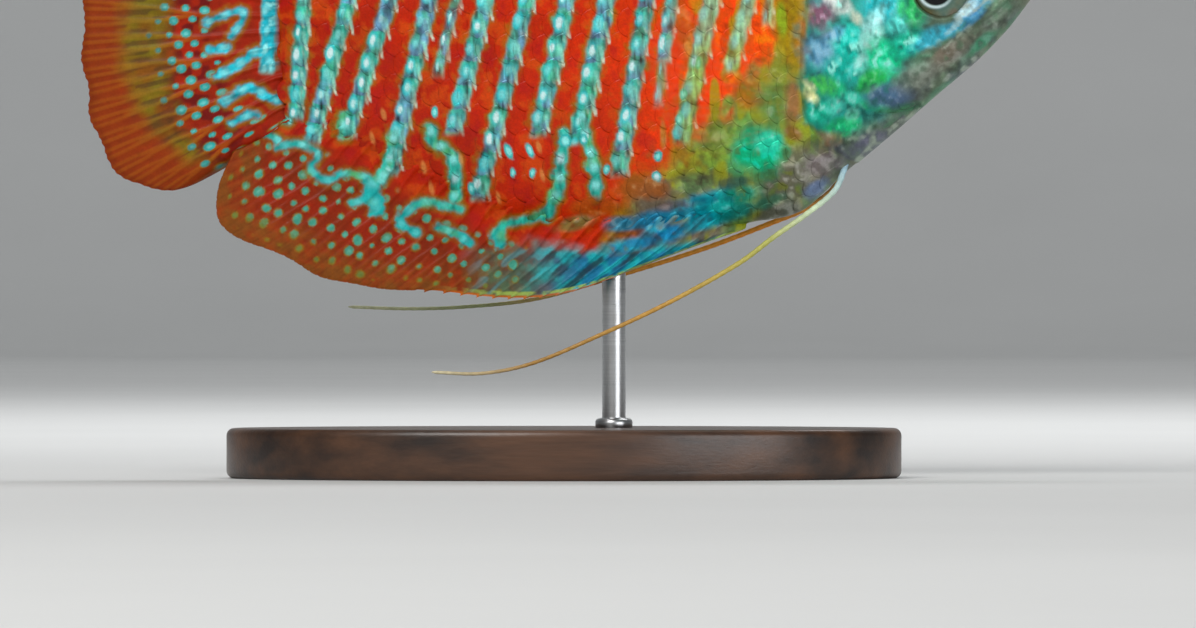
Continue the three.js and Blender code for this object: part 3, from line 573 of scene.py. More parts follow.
HEAD_PATCHES = [
    (26, 6, 6.5, 4, -25, 70, 150, 140, 0.75, 0.8), (27.5, 10.5, 6, 2.2, -30, 150, 92, 52, 0.8, 0.4),
    (34.5, 5.8, 3.6, 1.8, -28, 104, 118, 96, 0.8, 0.4), (20.3, 0.8, 1.5, 1.2, 20, 140, 62, 100, 0.8, 0.7),
    (20.9, -0.4, 0.9, 0.8, -20, 120, 90, 120, 0.5, 0.8), (20.4, -2, 1.6, 1.7, 0, 84, 136, 176, 0.8, 0.5),
    (20.8, 4.2, 1.6, 2.6, 0, 120, 104, 150, 0.7, 0.5), (22.7, -1.2, 1.7, 1.8, 20, 10, 190, 170, 0.95, 0.8),
    (22.2, -3.4, 1.8, 1.3, 0, 12, 180, 160, 0.9, 0.9), (22, 1.7, 1.5, 0.8, -35, 206, 216, 208, 0.75, 1),
    (23.3, 0.7, 0.9, 0.5, -45, 226, 224, 196, 0.6, 1), (21.2, 2.4, 0.8, 0.5, 20, 236, 240, 236, 0.7, 1),
    (25.2, 1.7, 2, 1.5, 20, 30, 186, 196, 0.9, 0.8), (24.4, -0.8, 0.9, 1.4, -35, 160, 240, 226, 0.8, 1),
    (25.4, -2.7, 1.5, 1.7, 10, 20, 214, 150, 0.95, 0.7), (24.5, -4.3, 1.5, 0.9, 30, 46, 196, 84, 0.85, 0.7),
    (27.5, 1.5, 1.2, 1.4, 0, 44, 196, 104, 0.85, 0.7), (27.4, -1.4, 1.5, 1, 20, 16, 194, 156, 0.9, 0.9),
    (24.6, 0.5, 0.7, 1.3, -40, 170, 244, 240, 0.8, 0.9), (26.5, 0.2, 0.9, 0.7, 30, 90, 226, 214, 0.8, 0.9),
    (23.6, -3, 0.6, 0.9, -30, 120, 240, 220, 0.75, 0.9), (21.6, -0.6, 1, 0.7, 30, 96, 160, 204, 0.7, 0.8),
    (21.7, -5, 0.8, 0.8, 0, 30, 196, 130, 0.8, 0.8), (28.6, -2.9, 1.3, 0.7, 35, 84, 150, 112, 0.7, 0.4),
    (30.2, -5.2, 1.9, 0.6, 42, 76, 142, 108, 0.6, 0.3), (27, -6.4, 2, 0.4, 8, 60, 148, 90, 0.75, 0.4),
    (24.4, -9.3, 2, 0.9, 30, 96, 96, 122, 0.6, 0.3), (28.6, -7.2, 1.4, 0.6, 40, 84, 112, 132, 0.6, 0.3),
    (30.2, -2.2, 1.2, 0.6, 34, 128, 104, 80, 0.6, 0.3), (32, -2.6, 1.6, 0.6, 40, 104, 134, 112, 0.6, 0.3),
    (21.4, -6.4, 1, 0.7, 20, 90, 226, 200, 0.7, 0.9), (23, -5.7, 1, 0.6, -20, 60, 214, 180, 0.7, 0.9),
    (24.6, -6.2, 1.3, 0.5, 0, 40, 170, 110, 0.7, 0.7), (22.9, -7.2, 0.6, 0.8, -40, 130, 240, 210, 0.7, 0.9),
    (26, 3.6, 1.2, 1.8, 0, 30, 170, 180, 0.8, 0.8), (29.6, -0.8, 2.4, 0.75, 24, 52, 176, 200, 0.9, 0.5),
    (32.4, 1.3, 1.6, 0.75, 38, 80, 166, 226, 0.85, 0.4), (31.3, 0, 1.5, 0.6, 33, 72, 178, 214, 0.9, 0.4),
    # Painted reflection: the white patch at (32.1, 1.35) is wet glare on the skin fold under the eye
    (32.1, 1.35, 1.5, 0.42, 42, 206, 246, 255, 1, 0), (33.8, 2.3, 1.1, 0.55, 62, 78, 152, 168, 0.7, 0.4),
    (34.9, 1.9, 1.7, 0.7, 58, 122, 174, 130, 0.8, 0.4), (32.7, 0.7, 1.3, 0.35, 42, 60, 140, 186, 0.7, 0.4),
    (33.6, 2.9, 1.4, 1, 60, 70, 160, 190, 0.6, 0.5), (30.9, -2, 2.7, 0.9, 38, 120, 112, 100, 0.6, 0.35),
    (33.4, -1.2, 1.5, 0.5, 42, 56, 150, 108, 0.7, 0.5), (35, 1.2, 2.2, 0.9, 50, 112, 122, 110, 0.7, 0.4),
    (25.8, -5.5, 2, 1, 0, 84, 112, 150, 0.85, 0.6), (28.2, -3.9, 2.2, 1.2, 25, 122, 126, 116, 0.6, 0.3),
    (20.4, -4.7, 1.5, 0.9, 0, 70, 196, 84, 0.85, 0.8), (19.6, -5.6, 0.9, 0.5, -40, 240, 240, 170, 0.95, 0.6),
    (19.5, -4.7, 0.7, 0.3, -30, 240, 244, 190, 0.9, 0.6), (20.3, -6.8, 1.3, 1, 0, 16, 186, 150, 0.9, 0.8),
    (22.2, -7.9, 1.7, 0.8, 15, 20, 200, 124, 0.9, 0.8), (19.2, -8.6, 0.8, 0.6, 0, 160, 40, 34, 0.85, 0.3),
    (20.9, -8.9, 1.2, 0.6, 0, 150, 108, 76, 0.7, 0.4),
]


def head_marks(x, z, spot):
    """Grey-violet head overlaid with flecked teal, green and blue patches, with painted highlights on them
    and painted shade in its folds and round the eye.
    """
    blur, fine, clump = grain(spot, 2.4), grain(spot, 0.42), grain(spot + 17, 0.85)
    throat_top = np.interp(x, (19, 22, 26, 30, 36), (-9.6, -9.0, -7.0, -3.8, 1.2))
    throat = fall(-1.1, 1.1, z - throat_top + 0.6 * blur)
    cheek = fall(26.5, 29.5, x - 0.25 * z + blur)
    colour = mix((92, 112, 92), (30, 136, 124), cheek)
    dim = mix((104, 124, 100), (90, 96, 102), step(-0.3, 0.3, grain(spot, 1.0)))
    colour = mix(colour, dim, throat)
    light = 1 + 0.25 * blur + (0.6 + 0.4 * cheek) * fine + 0.6 * cheek * clump
    colour = colour * np.clip(light, 0.45, 2)[..., None]
    colour, gloss = patched(colour, 0.25 + 0.2 * cheek, x, z, HEAD_PATCHES, blur, fine, clump)
    # Painted highlights: short bright glints like lit creases on the glossy patches; and pale lines along the
    # jaw
    across = np.stack([(x - z) * 1.3, 0 * x, (x + z) * 0.42], -1) + 0.6 * blur[..., None]
    wrinkle_glints = noise(across, 0.5) * step(0.3, 0.75, gloss)
    colour = mix(colour, (160, 246, 232), 0.7 * step(0.56, 0.76, wrinkle_glints))
    combed = noise(np.stack([0.3 * (x + z), 0 * x, (z - x) * 1.5 + 0.8 * blur], -1), 0.8)
    jaw = np.clip(throat + step(29, 32, x - 0.3 * z) * fall(4.5, 6.5, z), 0, 1)
    colour = mix(colour, (72, 132, 96), 0.5 * jaw * step(0.5, 0.7, 1 - combed)
                 * step(-0.1, 0.3, blur + clump))
    colour = mix(colour, (176, 190, 172), 0.6 * jaw * step(0.55, 0.75, combed) * step(-0.3, 0.3, fine + blur))
    # Painted shade along the preopercle, gill and jaw folds
    for line, width in ((PREOPERCLE[2:], 0.2), (GILL_FOLD, 0.14), (JAW_FOLD, 0.12)):
        colour = mix(colour, (30, 56, 52), 0.3 * stroke_field(x, z, line, width, 0.3))
    r = np.hypot(x - EYE["x"], z - EYE["z"])
    colour = mix(colour, (78, 70, 50), 0.7 * fall(EYE_SHOWN, EYE_SHOWN + 0.36, r))
    # Painted shade: the skin at the eye's opening near black, as the gap round the eye
    colour = mix(colour, (26, 20, 16), 0.9 * fall(EYE_SHOWN - 0.25, EYE_SHOWN + 0.08, r))
    crown = step(7.2, 10.5, z + 0.42 * (x - 28))
    colour = mix(colour, lit((84, 64, 40), 0.3 * blur), 0.75 * crown)
    colour = mix(colour, (120, 116, 96), 0.6 * step(36.0, 37.4, x))
    return np.clip(colour, 0, 1), gloss


def trunk_marks(points):
    """Markings at points of the trunk or its scales."""
    x, z = points[..., 0], points[..., 2]
    spot = np.stack([x, np.sign(points[..., 1]) * 3 + 0 * x, z], -1)
    flank, flank_gloss = flank_marks(x, z, spot)
    head, head_gloss = head_marks(x, z, spot)
    share = step(-0.6, 0.5, x - gill_x(z) + 1.1 * grain(spot, 1.2))
    share = np.maximum(share, step(20, 25, x))
    return mix(flank, head, share), flank_gloss + (head_gloss - flank_gloss) * share


# Meshes
def world(points):
    """Fish millimetres to metres above the floor."""
    return (np.asarray(points, float) + (0, 0, SWIM_HEIGHT)) * MM


def add_object(name, data):
    thing = bpy.data.objects.new(name, data)
    bpy.context.scene.collection.objects.link(thing)
    return thing


def fill(data, key, values, kind=np.float32):
    data.foreach_set(key, np.asarray(values, kind).ravel())


def make_mesh(name, points, faces, material, marks=None, uv=None, **values):
    """A smooth-shaded object; its faces are quads in which a repeated last corner makes a triangle."""
    keep = np.ones(faces.shape, bool)
    keep[:, 3] = faces[:, 2] != faces[:, 3]
    corners, counts = faces[keep], keep.sum(1)
    mesh = bpy.data.meshes.new(name)
    mesh.vertices.add(len(points))
    mesh.loops.add(len(corners))
    mesh.polygons.add(len(faces))
    fill(mesh.vertices, "co", points)
    fill(mesh.loops, "vertex_index", corners, np.int32)
    fill(mesh.polygons, "loop_start", np.cumsum(counts) - counts, np.int32)
    fill(mesh.polygons, "use_smooth", np.ones(len(faces)), bool)
    mesh.update(calc_edges=True)
    if uv is not None:
        fill(mesh.uv_layers.new(name="OFBake").data, "uv", uv[corners])
    if marks is not None:
        rgba = np.concatenate([np.clip(marks, 0, 1), np.ones((len(marks), 1))], 1)
        fill(mesh.color_attributes.new("Marks", "FLOAT_COLOR", "POINT").data, "color", rgba)
    for key, value in values.items():
        fill(mesh.attributes.new(key, "FLOAT", "POINT").data, "value", value)
    mesh.validate()
    mesh.materials.append(material)
    return add_object(name, mesh)


def add_piece(name, points, faces, material, slot, replaced=(), **looks):
    """A visible piece of the model, on its only body, in place of the named nodes."""
    piece = make_mesh(name, points, faces, material, **looks)
    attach(piece, "root")
    if replaced:
        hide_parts(*replaced)


def grid_faces(rows, columns, closed=False, flip=False):
    """Quads of a grid of points stored row by row; closed joins its last column to the first."""
    r, c = np.meshgrid(np.arange(rows - 1), np.arange(columns if closed else columns - 1), indexing="ij")
    a = (r * columns + c).ravel()
    b = (r * columns + (c + 1) % columns).ravel()
    faces = np.stack([a, b, b + columns, a + columns], 1)
    return faces[:, ::-1] if flip else faces


def fan_faces(ring, centre, flip=False):
    ring = np.asarray(ring)
    after = np.roll(ring, -1)
    order = (after, ring) if flip else (ring, after)
    middle = np.full(len(ring), centre)
    return np.stack([*order, middle, middle], 1)


def grid_border(rows, columns):
    """Indices round the edge of a grid of points stored row by row."""
    return np.concatenate([
        np.arange(columns), np.arange(1, rows) * columns + columns - 1,
        (rows - 1) * columns + np.arange(columns - 2, -1, -1), np.arange(rows - 2, 0, -1) * columns,
    ])


def closed_rings(rings, first, last):
    """Points and faces of a row of rings, closed by fans round a first and a last point."""
    rows, sides = rings.shape[:2]
    end, count = np.arange(sides), rows * sides
    faces = [grid_faces(rows, sides, closed=True), fan_faces(end, count, flip=True),
             fan_faces(end + count - sides, count + 1)]
    return np.vstack([rings.reshape(-1, 3), first, last]), np.vstack(faces)


TUBE_SIDES = 16


def smooth_line(points, knots, count):
    """A smooth line through points that lie at the given knots, evenly stepped."""
    at = np.linspace(0, knots[-1], count)
    return np.stack([smooth_curve(np.stack([knots, column], 1))(at) for column in points.T], -1)


def tube(line, radius, beside, squash):
    """A tube with its own radius at each point of the line; squash flattens it."""
    along = unit(np.gradient(line, axis=0))
    out = unit(np.cross(along, beside))
    lift = np.cross(out, along)
    turn = circle(TUBE_SIDES)[None, :, None]
    ring = np.cos(turn) * out[:, None] + squash * np.sin(turn) * lift[:, None]
    return closed_rings(line[:, None] + radius[:, None, None] * ring, line[0], line[-1])


def joined(parts):
    """Points, faces and point values of several meshes as one."""
    points, faces, values = zip(*parts)
    starts = np.cumsum([0] + [len(p) for p in points])
    faces = np.vstack([f + start for f, start in zip(faces, starts)])
    return np.vstack(points), faces, [np.concatenate(v) for v in zip(*values)]


def facing_out(points, faces):
    """The faces, turned over if the mesh is inside out."""
    a, b, c, d = (points[faces[:, k]] for k in range(4))
    volume = (a * np.cross(b, c)).sum() + (a * np.cross(c, d)).sum()
    return faces if volume > 0 else faces[:, ::-1]


# Materials
class Surface:
    """A new material with short ways to add nodes to it; inputs take outputs or constants."""

    def __init__(self, name):
        self.material = bpy.data.materials.new(name)
        self.material.use_nodes = True
        self.shader = self.material.node_tree.nodes["Principled BSDF"]

    def feed(self, node, inputs):
        for key, value in inputs.items():
            if isinstance(value, bpy.types.NodeSocket):
                self.material.node_tree.links.new(value, node.inputs[key])
            else:
                node.inputs[key].default_value = value

    def add(self, kind, inputs, output=0, **settings):
        node = self.material.node_tree.nodes.new("ShaderNode" + kind)
        for key, value in settings.items():
            setattr(node, key, value)
        self.feed(node, inputs)
        return node.outputs[output]

    def noise(self, scale, detail=4.0, stretch=(1, 1, 1)):
        """Noise in the piece's own metres."""
        place = self.add("Mapping", {"Vector": self.add("TexCoord", {}, "Object"), "Scale": stretch})
        return self.add("TexNoise", {"Vector": place, "Scale": scale, "Detail": detail}, "Fac")

    def ranged(self, value, low, high):
        return self.add("MapRange", {"Value": value, "To Min": low, "To Max": high})

    def attribute(self, name, output="Fac"):
        return self.add("Attribute", {}, output, attribute_name=name)

    def ramp(self, value, *stops):
        """Colours at two places of a ramp."""
        colour = self.add("ValToRGB", {"Fac": value})
        for element, (place, tint) in zip(colour.node.color_ramp.elements, stops):
            element.position, element.color = place, (*tint, 1)
        return colour

    def bump(self, height, strength, distance):
        bumped = self.add("Bump", {"Height": height, "Strength": strength, "Distance": distance})
        self.feed(self.shader, {"Normal": bumped})


def marked_material(name, mottle=0.25, metallic=0.45, rough=(0.28, 0.45), coat=0.4, coat_rough=0.12,
                    bump_size=9000, bump_depth=0.03):
    """Skin that takes its colours from the Marks attribute, with fine mottling and a wet coat."""
    skin = Surface(name)
    tone = skin.ranged(skin.noise(5200, 6), 1 - mottle, 1 + mottle)
    skin.feed(skin.shader, {
        "Base Color": skin.add("VectorMath", {0: skin.attribute("Marks", "Color"), "Scale": tone},
                               operation="SCALE"),
        "Metallic": skin.add("Math", {0: skin.attribute("Gloss"), 1: metallic}, operation="MULTIPLY"),
        "Roughness": skin.ranged(skin.noise(2600), *rough),
        "Coat Weight": coat, "Coat Roughness": coat_rough, "Specular IOR Level": 0.12,
    })
    skin.bump(skin.noise(bump_size, 3), 0.5, bump_depth * MM)
    return skin.material


SKIN = marked_material("skin_wet", rough=(0.26, 0.42), coat=0.08)
SCALE = marked_material("scales_glossy", mottle=0.3, metallic=0.4, rough=(0.24, 0.4), coat=0.08)
FIN = marked_material("fin_membrane", mottle=0.2, metallic=0.2, rough=(0.42, 0.6), coat=0.06, bump_size=6000)

# Skin
SKIN_SIDES = 280
SKIN_DEPTH = 0.12  # the scales lie in this depth
HEAD_FROM, LIPS_FROM = 17, 36.5  # where the rings of the skin get closer
TAIL_BOW, TAIL_MIDDLE, TAIL_HALF = 0.6, 1.3, 7.7  # of the tail's end, in x and z


def skin_grid():
    """The trunk with the head's relief, as a grid of closed rings."""
    xs = np.concatenate([
        np.linspace(TAIL_BASE_X, HEAD_FROM, 130, endpoint=False),
        np.linspace(HEAD_FROM, LIPS_FROM, 190, endpoint=False),
        SNOUT_X - (SNOUT_X - LIPS_FROM) * (1 - np.linspace(0, 1, 26)) ** 1.6,
    ])
    x, a = np.meshgrid(xs, circle(SKIN_SIDES) - math.pi / 2, indexing="ij")
    side = np.where(np.cos(a) >= 0, 1, -1)
    folded = np.where(side > 0, a, math.pi - a)
    plain, normal = section(x, folded), section_normal(x, folded)
    plain[..., 1] *= side
    normal[..., 1] *= side
    across, z = np.abs(np.cos(a)), plain[..., 2]
    depth = SKIN_DEPTH * fall(-0.4, 0.3, x - gill_x(z)) * (1 - step(0.8, 1, np.abs(np.sin(a))) * 0.3)
    out = relief(x, z) * step(0.05, 0.45, across**0.6) * step(15, 18, x) - depth
    throat = fall(0, 0.35, across) * (np.sin(a) < 0) * step(26, 30, x) * 0.05
    points = plain + normal * (out - throat)[..., None]
    # The tail's end bows to meet the round root of the tail fin
    points[..., 0] += TAIL_BOW * ((z - TAIL_MIDDLE) / TAIL_HALF) ** 2 * fall(TAIL_BASE_X, TAIL_BASE_X + 3, x)
    return points


# Half of the mouth's line, from a corner to the middle of the lips: x, y, z
MOUTH = np.array([(36.3, 1.55, 3.3), (37.3, 1.35, 4.1), (38.05, 0.85, 4.75), (38.3, 0, 5.0)])


def lip(drop, forward, radius=0.42, steps=70):
    """A lip as a tube round the snout; it thins towards the corners of the mouth."""
    path = np.vstack([MOUTH, MOUTH[-2::-1] * (1, -1, 1)]) + (forward, 0, drop)
    line = smooth_line(path, np.linspace(0, 1, len(path)), steps)
    size = radius * (0.5 + 0.5 * np.sin(math.pi * np.linspace(0, 1, steps)) ** 0.7)
    points, faces = tube(line, size, (0.5, 0, 0.87), 1)
    uv = np.stack([0.9 + 0.01 * points[:, 1], 0.93 + 0.05 * (drop > 0) + 0.02 * (points[:, 2] - 4)], 1)
    return points, faces, [lit((138, 116, 92), 0.25 * grain(points, 0.8)), np.full(len(points), 0.1), uv]


def build_skin():
    grid = skin_grid()
    rows, columns = grid.shape[:2]
    points, faces = closed_rings(grid, grid[0].mean(0), grid[-1].mean(0))
    places = np.meshgrid(np.linspace(0.01, 0.86, rows), np.linspace(0.01, 0.99, columns), indexing="ij")
    uv = np.vstack([np.stack(places, -1).reshape(-1, 2), (0.005, 0.5), (0.87, 0.5)])
    body = (points, faces, [*trunk_marks(points), uv])
    points, faces, (marks, gloss, uv) = joined([body, lip(0.36, -0.1), lip(-0.46, 0.08)])
    add_piece("skin", world(points), faces, SKIN, "body_skin", ["head", "torso", "tail_stem"],
              marks=marks, uv=uv, Gloss=gloss)


build_skin()

# Scales
BODY_SCALE = {"length": 2.45, "half": 1.3, "pitch": 1.5, "rows": ROW_PITCH, "lift": 0.09, "root": 0.012,
              "thick": 0.032}
HEAD_SCALE = {"length": 1.6, "half": 0.88, "pitch": 0.98, "rows": 1.3, "lift": 0.07, "root": 0.0,
              "thick": 0.025}
SCALE_PIECES = 4  # on each side of the trunk
PATCH = 0.003  # size of a scale's place on the bake map
BODY_FRONT, NAPE_FRONT, HEAD_REAR = 21.5, 31.5, 19  # x where the rows of scales begin or end
GIRTH_REACH = 24  # no scale's middle lies farther from the middle of the side
SCALE_MARGIN = 0.45  # between the outermost scales' middles and the edge of back or belly


def scale_centres(size, front, rear, keep):
    """Centres (x, girth) in staggered rows from the front backwards."""
    centres = []
    count = int(GIRTH_REACH / size["rows"])
    for row in range(-count, count + 1):
        x = front - (0.5 * size["pitch"] if row % 2 else 0)
        while x > rear:
            g = row * size["rows"] * row_fit(x) + ROW_SHIFT
            low, high = girth.limits(x)
            if low + SCALE_MARGIN < g < high - SCALE_MARGIN and keep(x, g):
                centres.append((x, g))
            x -= size["pitch"] * row_fit(x)
    return np.array(centres)


def scale_plates(centres, size, side, along=19, across=17):
    """Thin rounded plates whose hidden roots point forward and whose free edges lift a little."""
    s, t = np.meshgrid(np.linspace(0, 1, along) ** 0.72, np.linspace(-1, 1, across), indexing="ij")
    rear = np.clip((s - 0.42) / 0.58, 0, 1)
    shape = np.sqrt(1 - 0.985 * rear**2.3) * (0.82 + 0.18 * np.minimum(s / 0.4, 1))
    fit = row_fit(centres[:, 0])[:, None, None]
    count, per = len(centres), along * across
    jitter = DRAWS.normal(0, 1, (count, 4))[:, :, None, None]
    x = centres[:, 0, None, None] + fit * size["length"] * (0.52 - s) + 0.03 * jitter[:, 0]
    g = centres[:, 1, None, None] + fit * size["half"] * t * shape + 0.03 * jitter[:, 1]
    low, high = girth.limits(x)
    angle = girth.angle(x, np.clip(g, low + 0.02, high - 0.02))
    base, normal = section(x, angle), section_normal(x, angle)
    rim = np.maximum(np.abs(t), rear) ** 6
    lift = size["root"] + size["lift"] * s * (1 + 0.08 * jitter[:, 2]) - size["thick"] * 0.6 * rim
    top = base + normal * (lift - SKIN_DEPTH)[..., None]
    ring = grid_border(along, across)
    walls = (top - normal * size["thick"]).reshape(count, per, 3)[:, ring]
    under = (base - normal * SKIN_DEPTH).reshape(count, per, 3)[:, [(along // 2) * across + across // 2]]
    points = np.concatenate([top.reshape(count, per, 3), walls, under], 1)
    points[..., 1] *= side
    lower = per + np.arange(len(ring))
    sides = np.stack([ring, np.roll(ring, -1), np.roll(lower, -1), lower], 1)
    faces = np.vstack([grid_faces(along, across, flip=side > 0), sides[:, ::-1] if side < 0 else sides,
                       fan_faces(lower, per + len(ring), flip=side > 0)])
    faces = (faces[None] + points.shape[1] * np.arange(count)[:, None, None]).reshape(-1, 4)
    edge, s, t = (np.concatenate([value.ravel(), value.ravel()[ring], [centre]])
                  for value, centre in ((0.75 * rim * (s > 0.3), 0), (s, 0.5), (t, 0)))
    root_u = 0.02 + 0.96 * (centres[:, :1] - TAIL_BASE_X) / (SNOUT_X - TAIL_BASE_X)
    root_v = 0.5 + 0.018 * centres[:, 1:]
    uv = np.stack([root_u + PATCH * (s - 0.5), root_v + PATCH * 0.5 * t], -1).reshape(-1, 2)
    points = points.reshape(-1, 3)
    marks, gloss = trunk_marks(points)
    tone = (1 + 0.05 * jitter[:, 3, :, 0]) * (1 - 0.1 * edge)
    return world(points), faces, {"marks": marks * tone.reshape(-1, 1), "uv": uv, "Gloss": gloss}


def keep_body(x, g):
    z = section(np.array(x), girth.angle(np.array(x), np.array(g)))[2]
    return x < gill_x(z) + 0.35


def keep_head(x, g):
    z = section(np.array(x), girth.angle(np.array(x), np.array(g)))[2]
    clear = math.hypot(x - EYE["x"], z - EYE["z"]) > EYE_SHOWN + 1.5
    nape = z > 6.5 and x < NAPE_FRONT
    cheek = x < 27.6 and z > -6.6
    return x - gill_x(z) > 1.1 and clear and (nape or cheek)


def build_scales():
    for name, side in SIDES:
        body = scale_centres(BODY_SCALE, BODY_FRONT, TAIL_BASE_X + 0.4, keep_body)
        order = np.argsort(body[:, 0], kind="stable")
        for part, chosen in enumerate(np.array_split(order, SCALE_PIECES)):
            points, faces, looks = scale_plates(body[chosen], BODY_SCALE, side)
            add_piece(f"scales_{name}_{part + 1}", points, faces, SCALE, "body_skin", **looks)
        head = scale_centres(HEAD_SCALE, NAPE_FRONT, HEAD_REAR, keep_head)
        points, faces, looks = scale_plates(head, HEAD_SCALE, side, 13, 11)
        add_piece(f"scales_head_{name}", points, faces, SCALE, "head_skin", **looks)


build_scales()

# Fins
DORSAL = {
    "from": 15, "to": -19.2, "edge": body_top, "up": 1, "spines": 16, "soft": 9, "sway": 1.1,
    "lengths": [(0, 1.6), (0.1, 4.6), (0.3, 7.4), (0.6, 8.9), (0.75, 11.2), (0.87, 14.2), (0.94, 13.4),
                (1, 6.2)],
    "leans": [(0, 46), (0.3, 46), (0.6, 50), (0.85, 55), (0.94, 61), (1, 72)],
}
ANAL = {
    "from": 14.6, "to": -22.6, "edge": body_bottom, "up": -1, "spines": 17, "soft": 14, "sway": -0.9,
    "lengths": [(0, 0.9), (0.1, 4.0), (0.24, 6.5), (0.48, 7.2), (0.68, 10.0), (0.8, 10.5), (0.89, 10.9),
                (0.945, 8.5), (1, 4.2)],
    "leans": [(0, 66), (0.24, 53), (0.48, 49), (0.72, 47.5), (0.82, 51.5), (0.91, 56), (1, 62)],
}
CAUDAL = {
    "root_z": 0.95, "root_half": 8.55, "root_bow": 0.6, "rays": 15, "fan": 40, "tilt": 1, "sway": 1.6,
    "lengths": [(0, 15.5), (0.5, 15.4), (0.7, 14.4), (0.8, 13.0), (0.88, 11.5), (0.94, 9.4), (1, 4.8)],
}
FIN_GAP = 0.3
ROOT_DEPTH = 2.6  # how far the rays reach into the trunk
RAY_COLUMNS = 10
FIN_ROWS = 90
SPINE_REACH = 0.045  # past the margin, as a share of the ray
MEDIAN_ROOT = 0.2  # of the dorsal and anal fins, the same
RAY_LEAN = 51  # degrees by which the anal and dorsal fins' markings lean back


def ray_height(u, v, spines, soft):
    """0 on the membrane to 1 on a ray's crest; the soft rays fork."""
    rays = u * (spines + soft - 1)
    nearest = np.round(rays)
    stiff = nearest < spines
    fork = np.where(stiff, 0, 0.24 * step(0.36, 0.66, v))
    second = np.where(stiff, 0, 0.1 * step(0.62, 0.9, v))
    away = np.abs(np.abs(np.abs(rays - nearest) - fork) - second)
    return bell(away, np.where(stiff, 0.17, 0.15) * (1 - 0.45 * v)), stiff


def fin_mesh(place, spines, soft, normal=(0, 1, 0), root=0.07, rows=FIN_ROWS, columns=RAY_COLUMNS,
             membrane=0.3, ridge=0.36, flesh=None):
    """A fin's two faces and rim.

    place(u, v) is the middle of the sheet, with u along the root and v out along the rays.
    flesh(points, u, v) is the least half thickness near the root.
    """
    u = np.linspace(0, 1, (spines + soft - 1) * columns + 1)
    u, v = np.meshgrid(u, np.linspace(-root, 1, rows), indexing="ij")
    outer = np.maximum(v, 0)
    crest, stiff = ray_height(u, outer, spines, soft)
    edge = np.where(stiff, SPINE_REACH * (crest - 0.35), 0.007 * (crest - 0.5)) * step(0.75, 1, v)
    edge = edge + 0.012 * np.sin(37 * u + 2 * np.sin(9 * u)) * step(0.8, 1, v)
    middle = place(u, v * (1 + edge))
    half = (membrane * (1 - 0.55 * outer) + ridge * crest * (1 - 0.78 * outer) ** 1.2) / 2
    half = half * (1 - 0.6 * step(0.96, 1, v))
    if flesh:
        half = half + flesh(middle, u, outer)
    wave = 0.05 * np.sin(21 * u + 5 * v) * outer
    points = np.vstack([(middle + (wave + k * half)[..., None] * np.array(normal)).reshape(-1, 3)
                        for k in (1, -1)])
    faces, count, border = grid_faces(*u.shape), u.size, grid_border(*u.shape)
    after = np.roll(border, -1)
    rim = np.stack([border, after, after + count, border + count], 1)
    plane = [np.tile(a.ravel(), 2) for a in (u, outer, crest)]
    sheet = np.stack([0.02 + 0.96 * u.ravel(), 0.01 + 0.47 * (v.ravel() + root) / (1 + root)], 1)
    faces, uv = np.vstack([faces, faces[:, ::-1] + count, rim]), np.vstack([sheet, sheet + (0, 0.5)])
    return points, faces, plane, uv


# Curls on the tail fin's base: points, half width
CAUDAL_CURLS = [
    ([(-28.5, 0.5), (-27.5, 1.0), (-26.2, 1.3), (-25.6, 1.4), (-25.7, 0.5), (-26.6, -0.6)], 0.3),
    ([(-28.3, -1.7), (-27.0, -1.5)], 0.34),
    ([(-27.8, -3.8), (-26.7, -3.4), (-25.6, -2.7), (-25.0, -1.9), (-24.0, -1.9), (-23.4, -2.8)], 0.36),
    ([(-27.2, -5.9), (-26.2, -5.4), (-25.4, -4.8), (-24.5, -5.0), (-23.7, -5.6), (-23.0, -5.8)], 0.36),
    ([(-26.6, -7.7), (-25.9, -7.2), (-25.1, -6.9), (-24.5, -7.0)], 0.28),
]
MAROON = (84, 4, 14)
RUST = (140, 50, 4)


def upper_curls():
    """The lower curls again, mirrored into the tail fin's upper half."""
    return [([(x, 2 * CAUDAL["root_z"] + 0.8 - z) for x, z in points], half)
            for points, half in CAUDAL_CURLS[1:]]


def dotted(gap, out, pitch, radius, first, last, spacing):
    """Round dots in every gap between rays, staggered from one gap to the next."""
    index = np.floor(gap)
    shift = np.where(index % 2 == 0, 0, 0.5 * pitch) + 0.1 * pitch * np.sin(7 * index)
    number = np.round((out - first - shift) / pitch)
    centre = first + shift + number * pitch
    size = radius * (0.6 + 0.7 * chance(index, number, 5))
    centre = centre + 0.3 * pitch * (chance(index, number, 13) - 0.5)
    off = (gap - index - 0.32 - 0.36 * chance(index, number, 9)) * spacing
    away = np.hypot((out - centre) / size, off / (0.88 * size))
    inside = (centre > first - 0.01) & (centre < last)
    return np.clip(1.25 - away, 0, 1) * 1.6 * inside


def paint_dots(colour, dots, tint, core_tint, core_share=0.5):
    """Dots with an olive fringe, a coloured body and a paler middle."""
    colour = mix(colour, FRINGE, 0.55 * step(0.02, 0.25, dots))
    colour = mix(colour, tint, step(0.25, 0.55, dots))
    return mix(colour, core_tint, core_share * step(0.95, 1.5, dots))


